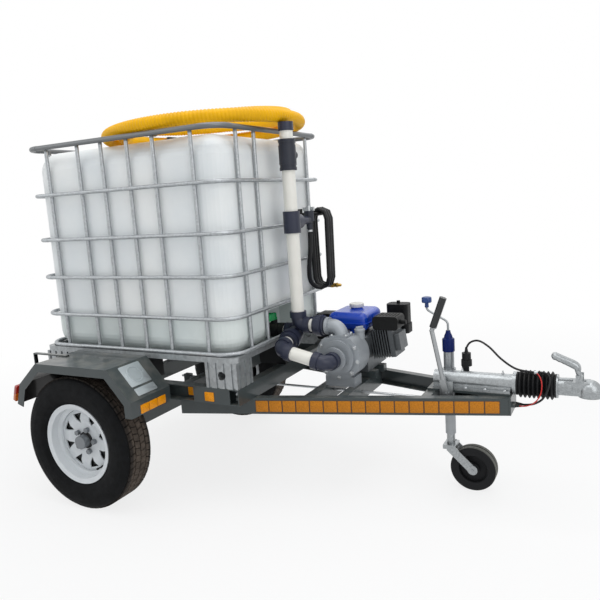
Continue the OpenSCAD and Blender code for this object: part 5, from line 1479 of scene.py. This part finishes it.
@dataclass
class WheelTrim:
    """The black ring round the hub, painted shade for the dark gap round its nose, with the drum's flange and
    the valve of a wheel.
    """

    side: Side
    hub_ring: Outline = ((32.4, 0.3), (41, 0.3), (41, 4), (38, 8), (34, 9), (32.4, 9))
    hub_out: float = 16
    flange: Outline = ((127.5, 1), (147, 1), (148, 2), (148, 5), (146, 6), (127.5, 6))
    valve: Outline = ((0, 0), (6, 0), (6, 3), (4, 5), (4, 26), (5, 27), (5, 36), (3, 38), (0, 38))
    valve_r: float = 150
    valve_angle: float = -52
    valve_out: float = 22

    def build(self) -> None:
        """Builds the trim on its wheel."""
        name, out = self.side.label, self.side.value
        a = math.radians(self.valve_angle)
        dx, dz = self.valve_r * math.cos(a), self.valve_r * math.sin(a)
        # the hub's ring is painted shade: black where the gap round the hub's nose lies in shadow
        rows = ((self.hub_ring, 40, 0, self.hub_out, 0), (self.flange, 64, 0, 0, 0),
                (self.valve, 20, dx, self.valve_out, dz))
        shape = Shape()
        for outline, steps, x, y, z in rows:
            shape.turn(outline, facing(at(x, out * (WHEEL_Y + y), WHEEL_Z + z), (0, out, 0)), steps)
        shape.piece(f"wheel_trim_{name}", f"wheel_{name}", BLACK_PLASTIC)


@dataclass
class WheelRim:
    """A pressed rim: its drop well, and a dish with eight three-cornered windows."""

    side: Side
    well: Outline = (
        (195.5, 76), (195.5, 71), (178, 66), (178, 34), (158, 29), (158, -29), (178, -34), (178, -66),
        (195.5, -71), (195.5, -76), (173, -71), (173, -34), (153.4, -29), (153.4, 29), (173, 34), (173, 71),
    )
    dish: Outline = (
        (32.1, 10.2), (32.1, 16), (82, 16), (95, 19), (108, 25), (122, 24), (140, 19), (152, 16), (153, 10.2),
        (140, 13), (122, 18), (108, 19), (95, 13), (82, 10.2),
    )
    windows: int = 8
    window_r: float = 33
    window_edge: float = 0.003
    circle_r: float = 118
    first_angle: float = 16
    window_depth: float = 60

    def window(self, bm: Mesh) -> None:
        """Shapes the punch of one window.

        Args:
            bm: An empty bmesh.
        """
        radius, depth = self.window_r * MM, self.window_depth * MM
        bmesh.ops.create_cone(bm, cap_ends=True, segments=3, radius1=radius, radius2=radius, depth=depth)
        soften(bm, edges_taller(bm, depth / 2), self.window_edge, 3)

    def build(self) -> None:
        """Builds the rim on its wheel."""
        name, out = self.side.label, self.side.value
        frame = facing(at(0, out * WHEEL_Y, WHEEL_Z), (0, out, 0))
        punch = Shape()
        for i in range(self.windows):
            turn = math.radians(self.first_angle + 360 * i / self.windows)
            middle = Vector((math.cos(turn), math.sin(turn), 0)) * self.circle_r * MM
            corner = Matrix.Rotation(turn + math.pi / 2, 4, "Z")
            punch.add(self.window, frame @ Matrix.Translation(middle) @ corner)
        shape = Shape()
        shape.turn(self.dish, frame, 96)
        shape.cut(punch)
        shape.turn(self.well, frame, 96)
        rim = shape.piece(f"pressed_rim_{name}", f"wheel_{name}", RIM_WHITE, 20.0)
        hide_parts(f"rim_{name}")


@dataclass
class JockeyTop:
    """The jockey wheel's tube with its blue collar and cone, and its thin crank with a knob."""

    x: float = 1560
    y: float = 80
    tube: Outline = (
        (19.6, 262), (23.6, 262), (24, 262.6), (24, 658), (26.6, 658), (28, 660), (28, 716), (26.6, 719),
        (21, 721), (19.5, 724), (18.5, 731), (11, 748), (10.6, 755), (9.6, 756.5), (7.4, 756.5), (7.4, 640),
        (19.6, 640),
    )
    rod_r: float = 5.2
    rod: Outline = (
        (0, 656), (0, 720), (0, 778), (-2, 791), (-10, 802), (-34, 816), (-74, 838), (-90, 848), (-96, 857),
        (-96, 866), (-96, 880),
    )
    knob: Outline = (
        (0, 862), (8.5, 862), (9.5, 864), (8.5, 880), (12, 883), (21, 885), (23, 888), (23, 905), (20.5, 910),
        (14, 912), (0, 912),
    )

    def build(self) -> None:
        """Builds the tube and the crank."""
        shape = Shape()
        shape.turn(self.tube, facing(at(self.x, self.y, 0), UP), 56)
        tube = shape.piece("jockey_post", "chassis", JOCKEY_TUBE)
        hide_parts("jockey_outer_tube")
        shape = Shape()
        path = [at(*p) for p in spline([(self.x + dx, self.y, z) for dx, z in self.rod], 5)]
        shape.sweep(path, 20, lambda run, a: self.rod_r * MM, (0, 1, 0))
        shape.turn(self.knob, facing(at(self.x + self.rod[-1][0], self.y, 0), UP), 40)
        crank = shape.piece("jockey_winder", "crank", JOCKEY_CRANK)
        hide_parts("jockey_crank")


@dataclass
class CouplingGrip:
    """The thick cast grip on the coupling handle, with hollows for the fingers."""

    points: Outline = (
        (2116, 622), (2113, 634), (2106, 646), (2092, 655), (2070, 664), (2046, 674), (2026, 683),
        (2012, 690),
    )
    half_w: float = 24
    half_t: float = 14.5
    finger: float = 0.021
    step: float = 0.003
    root_l: float = 0.02
    tip_l: float = 0.012

    def build(self) -> None:
        """Builds the grip on the handle."""
        path = even([at(x, 0, z) for x, _, z in spline([(x, 0, z) for x, z in self.points], 8)], self.step)
        whole = run_length(path)

        def section(run: float, a: float) -> float:
            """The grip's rounded section.

            Args:
                run: Distance along the grip, in metres.
                a: Angle round it, from its top.

            Returns:
                Its radius there, in metres.
            """
            root = 0.45 + 0.55 * (max(run, 0.0) / self.root_l) ** 0.5
            tip = 0.3 + 0.7 * (max(whole - run, 0.0) / self.tip_l) ** 0.5
            below = max(-math.cos(a), 0.0) * 0.1 * (1 + math.cos(math.tau * run / self.finger))
            tall, wide = self.half_t * (1 - below), self.half_w
            flat = (abs(math.cos(a) / tall) ** 3 + abs(math.sin(a) / wide) ** 3) ** (-1 / 3)
            return min(1.0, root, tip) * flat * MM

        shape = Shape()
        shape.sweep(path, 28, section)
        shape.piece("coupling_grip", "head_handle", ZINC_PLATED, 50.0)


@dataclass
class OutletGrip:
    """The raised, ribbed grip on the outlet valve's lever."""

    hub: Point = (686, 0, 809)
    hub_boss: Outline = ((0, 0), (15, 0), (15, 16), (11, 22), (0, 22))
    grip_y: float = -63
    size: Point = (38, 90, 27)
    ribs: int = 4
    rib_w: float = 6
    rib_out: float = 4
    pitch: float = 17

    def build(self) -> None:
        """Builds the grip on the lever."""
        x, y, z = self.hub
        length, width, height = self.size
        shape = Shape()
        shape.block((length * MM, width * MM, height * MM), facing(at(x, self.grip_y, z), UP), 0.011, 0.007)
        rib = ((length + self.rib_out) * MM, self.rib_w * MM, (height + 1) * MM)
        for i in range(self.ribs):
            place = at(x, self.grip_y + (i - (self.ribs - 1) / 2) * self.pitch, z + 1)
            shape.block(rib, facing(place, UP), 0.002, 0.003)
        shape.turn(self.hub_boss, facing(at(x, y, z), UP), 32)
        shape.piece("outlet_grip", "outlet_handle", GREEN_PLASTIC)


@dataclass
class LampLenses:
    """The rear lenses of the tail lamps, which reach out to the mudguards' edges."""

    place: Point = (-359.6, 706, 544.7)
    slope: float = 18.27
    size: Point = (113, 84, 17)

    def build(self) -> None:
        """Builds both lenses."""
        lean = math.radians(self.slope)
        x, y, z = self.place
        for side in Side:
            place = facing(at(x, side.value * y, z), (-math.cos(lean), 0, math.sin(lean)), (0, 1, 0))
            shape = Shape()
            shape.block([n * MM for n in self.size], place, 0.008, 0.005)
            shape.piece(f"lamp_lens_{side.label}", "chassis", LAMP)


@dataclass
class Reflectors:
    """Amber sheet on the drawbar, the mudguards and the rails."""

    angle: float = 15.7
    nose: tuple[float, float] = (1850, 70)
    tape_from: float = 772
    tape_to: float = 1815
    tape_z: float = 465
    tape_h: float = 52
    count: int = 17
    gap: float = 6
    guard_x: float = 385
    guard_ys: tuple[float, ...] = (565, 622, 679)
    guard_z: float = 522
    guard_size: Point = (54, 40, 2.5)
    rail_spots: tuple[tuple[Point, Point], ...] = (
        ((611, 500, 537), (0.05, 0.042, 0.003)), ((477, 455, 539), (0.036, 0.04, 0.003)),
    )

    def spot(self, side: Side, share: float, lift: float) -> Matrix:
        """A place on the outer face of a drawbar rail.

        Args:
            side: The rail's side.
            share: How far along the tape it is, from 0 to 1.
            lift: How far off the face it is, in millimetres.

        Returns:
            Its frame, with Z away from the face.
        """
        lean, s = math.radians(self.angle), side.value
        way = Vector((math.cos(lean), -s * math.sin(lean), 0))
        normal = Vector((math.sin(lean), s * math.cos(lean), 0))
        x = self.tape_from + share * (self.tape_to - self.tape_from)
        y = s * (self.nose[1] + (self.nose[0] - x) * math.tan(lean))
        return facing(at(x, y, self.tape_z) + normal * lift * MM, normal, way)

    def tape(self, side: Side) -> None:
        """The backing and the blocks of one drawbar rail.

        Args:
            side: The rail's side.
        """
        length = (self.tape_to - self.tape_from) / math.cos(math.radians(self.angle))
        shape = Shape()
        shape.block((length * MM, (self.tape_h + 4) * MM, 0.0006), self.spot(side, 0.5, 0.0), 0.002, 0.0002)
        shape.piece(f"tape_backing_{side.label}", "chassis", TAPE_BACK)
        shape = Shape()
        size = ((length / self.count - self.gap) * MM, self.tape_h * MM, 0.0009)
        for i in range(self.count):
            shape.block(size, self.spot(side, (i + 0.5) / self.count, 0.6), 0.003, 0.0003)
        # the tape blocks take the darker amber, painted shade for the drawbar rails
        shape.piece(f"tape_blocks_{side.label}", "chassis", AMBER_SHADED)

    def spots(self, side: Side) -> None:
        """The blocks on a mudguard's front and on the side rail.

        Args:
            side: The trailer's side.
        """
        s = side.value
        shape = Shape()
        for y in self.guard_ys:
            place = facing(at(self.guard_x, s * y, self.guard_z), AHEAD, (0, 1, 0))
            shape.block([n * MM for n in self.guard_size], place, 0.003, 0.0008)
        for (x, y, z), size in self.rail_spots:
            shape.block(size, facing(at(x, s * y, z), (0, s, 0)), 0.003, 0.001)
        shape.piece(f"reflectors_{side.label}", "chassis", AMBER_BRIGHT)

    def build(self) -> None:
        """Builds the reflectors of both sides."""
        for side in Side:
            self.tape(side)
            self.spots(side)


@dataclass
class GuardPlates:
    """Bare plates riveted on the slope of the near mudguard."""

    top: tuple[float, float] = (262, 710)
    foot: tuple[float, float] = (385, 570)
    y: float = -636
    thick: float = 2.0
    upper: tuple[float, ...] = (0.36, 132, 112, 52)
    lower: tuple[float, ...] = (0.82, 128, 38, 56)
    rivet: Outline = ((0, 0), (3.4, 0), (3.0, 1.2), (1.6, 2.0), (0, 2.2))
    ring: Outline = ((36, 0), (43, 0), (42, 2.6), (37, 2.6))
    disc: Outline = ((0, 0), (34, 0), (33, 1.4), (0, 1.8))

    def spot(self, share: float, y: float, lift: float = 0.0) -> Matrix:
        """A place on the slope.

        Args:
            share: How far down the slope it is, from 0 to 1.
            y: Its Y in millimetres.
            lift: How far off the slope it is, in millimetres.

        Returns:
            Its frame, with Z away from the slope.
        """
        (x0, z0), (x1, z1) = self.top, self.foot
        run = Vector((x1 - x0, 0, z1 - z0))
        normal = Vector((z0 - z1, 0, x1 - x0)).normalized()
        return facing(at(x0, y, z0) + run * share * MM + normal * lift * MM, normal, (0, 1, 0))

    def build(self) -> None:
        """Builds both plates with their rivets."""
        shape = Shape()
        for share, wide, tall, pins in (self.upper, self.lower):
            size = (wide * MM, tall * MM, self.thick * MM)
            shape.block(size, self.spot(share, self.y), 0.006, 0.0006)
            for dy in (-pins, pins):
                shape.turn(self.rivet, self.spot(share, self.y + dy, self.thick), 16)
        for outline in (self.ring, self.disc):
            shape.turn(outline, self.spot(self.upper[0], self.y, self.thick), 48)
        shape.piece("guard_plates", "chassis", BARE_PLATE)


@dataclass
class PumpTrim:
    """Bolts of the pump's cover and flange, and its priming cap."""

    crank: tuple[float, float] = (1085, 650)
    cover_y: float = -112
    circle_r: float = 99
    angles: tuple[float, ...] = (-90, -48, -10, 30, 150, 190, 228)
    flange_y: float = -60
    flange_z: float = 750
    flange_half: tuple[float, float] = (36, 31)
    cap: Outline = ((0, 0), (25, 0), (26, 2), (26, 11), (24, 14), (0, 14))
    cap_x: float = 70
    cap_z: float = 752
    wing: Point = (0.04, 0.01, 0.012)
    wing_way: Point = (0.6, 0.8, 0)

    def build(self) -> None:
        """Builds the bolts and the cap."""
        x, z = self.crank
        shape = Shape()
        for a in self.angles:
            turn = math.radians(a)
            place = at(x + self.circle_r * math.cos(turn), self.cover_y, z + self.circle_r * math.sin(turn))
            shape.bolt(facing(place, (0, -1, 0)), 13, 7)
        half_x, half_y = self.flange_half
        for dx in (-half_x, half_x):
            for dy in (-half_y, half_y):
                shape.bolt(facing(at(x + dx, self.flange_y + dy, self.flange_z), UP), 12, 6)
        shape.piece("pump_bolts", "chassis", STEEL)
        shape = Shape()
        cap = at(x + self.cap_x, 0, self.cap_z)
        shape.turn(self.cap, facing(cap, UP), 40)
        top = cap + Vector((0, 0, self.cap[-1][1] * MM))
        shape.block(self.wing, facing(top, UP, self.wing_way), 0.003, 0.002)
        shape.piece("priming_cap", "chassis", CAST)


@dataclass
class EngineTrim:
    """The fuel cap, the louvres and cap of the recoil cover, and the ribs of the switch box."""

    filler: Point = (1060, 207.1, 846)
    cap: Outline = (
        (30.4, -13), (35, -13), (36, -11), (36, 3), (33, 6), (12, 8), (0, 8), (0, 0.3), (30.4, 0.3),
    )
    grips: int = 20
    grip_r: float = 0.0357
    grip_drop: float = 0.004
    grip_size: Point = (0.013, 0.004, 0.0016)
    recoil: Point = (1085, 342, 644)
    recoil_cap: Outline = ((0, 0), (24, 0), (22, 5), (10, 8), (0, 8))
    recoil_out: float = 26
    louvres: int = 14
    louvre_r: float = 0.061
    louvre_size: Point = (0.013, 0.005, 0.004)
    rib_xs: tuple[float, ...] = (870, 904, 938)
    rib_y: float = 132
    rib_z: float = 739
    rib_size: Point = (0.006, 0.06, 0.003)

    def build(self) -> None:
        """Builds the trim."""
        shape = Shape()
        cap = at(*self.filler)
        shape.turn(self.cap, facing(cap, UP), 40)
        for i in range(self.grips):
            turn = math.tau * i / self.grips
            way = Vector((math.cos(turn), math.sin(turn), 0))
            place = cap + way * self.grip_r - Vector((0, 0, self.grip_drop))
            shape.block(self.grip_size, facing(place, way, UP), 0.0008, 0.0004)
        shape.piece("fuel_cap", "chassis", PALE_CAP)
        shape = Shape()
        x, y, z = self.recoil
        for i in range(self.louvres):
            turn = math.tau * i / self.louvres
            way = Vector((math.cos(turn), 0, math.sin(turn)))
            place = at(x, y, z) + way * self.louvre_r
            shape.block(self.louvre_size, facing(place, (0, 1, 0), way), 0.0015, 0.001)
        shape.turn(self.recoil_cap, facing(at(x, y + self.recoil_out, z), (0, 1, 0)), 40)
        for rib_x in self.rib_xs:
            shape.block(self.rib_size, facing(at(rib_x, self.rib_y, self.rib_z), (0, -1, 0)), 0.001, 0.0008)
        shape.piece("engine_louvres", "chassis", BLACK_METAL)


@dataclass
class CouplingTrim:
    """Bolts and grease nipples of the overrun coupling."""

    bolt_xs: tuple[float, ...] = (1662, 1745, 1828)
    bolt_y: float = 40
    base_z: float = 527
    nipple_xs: tuple[float, ...] = (1640, 1815)
    top_z: float = 590.6
    nipple: Outline = (
        (0, 0), (6, 0), (6, 4), (3.4, 6), (3.4, 9), (2.4, 11), (3.4, 13), (2, 15), (0, 15),
    )

    def build(self) -> None:
        """Builds the fasteners."""
        shape = Shape()
        for x in self.bolt_xs:
            for y in (-self.bolt_y, self.bolt_y):
                shape.bolt(facing(at(x, y, self.base_z), UP), 11, 6)
        for x in self.nipple_xs:
            shape.turn(self.nipple, facing(at(x, 0, self.top_z), UP), 16)
        shape.piece("coupling_fasteners", "chassis", STEEL)


def dress_nodes(nodes: dict[str, Object]) -> None:
    """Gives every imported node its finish.

    Args:
        nodes: The frame's nodes, by name.
    """
    for finish, names in DRESS.items():
        for name in names:
            mesh = nodes[name].data
            mesh.materials.clear()
            mesh.materials.append(finish.material())
    bare = sorted(set(nodes) - {n for names in DRESS.values() for n in names})
    LOG.info("nodes without a finish: %s", bare)


def main() -> None:
    """Loads the frame, dresses it and adds the pieces."""
    logging.basicConfig(level=logging.INFO, format="%(name)s: %(message)s")
    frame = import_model()
    for part in (Studio(), SuctionHose(), DeliveryHose(), NoseCables()):
        part.build()
    dress_nodes(frame["nodes"])
    DrawBellows().build()
    for side in Side:
        for part in (RoadTyre(side), WheelRim(side), WheelTrim(side)):
            part.build()
    for part in (JockeyTop(), CouplingGrip(), OutletGrip(), LampLenses(), Reflectors(), GuardPlates(),
                 PumpTrim(), EngineTrim(), CouplingTrim()):
        part.build()
    bpy.context.view_layer.update()


if __name__ == "__main__":
    main()
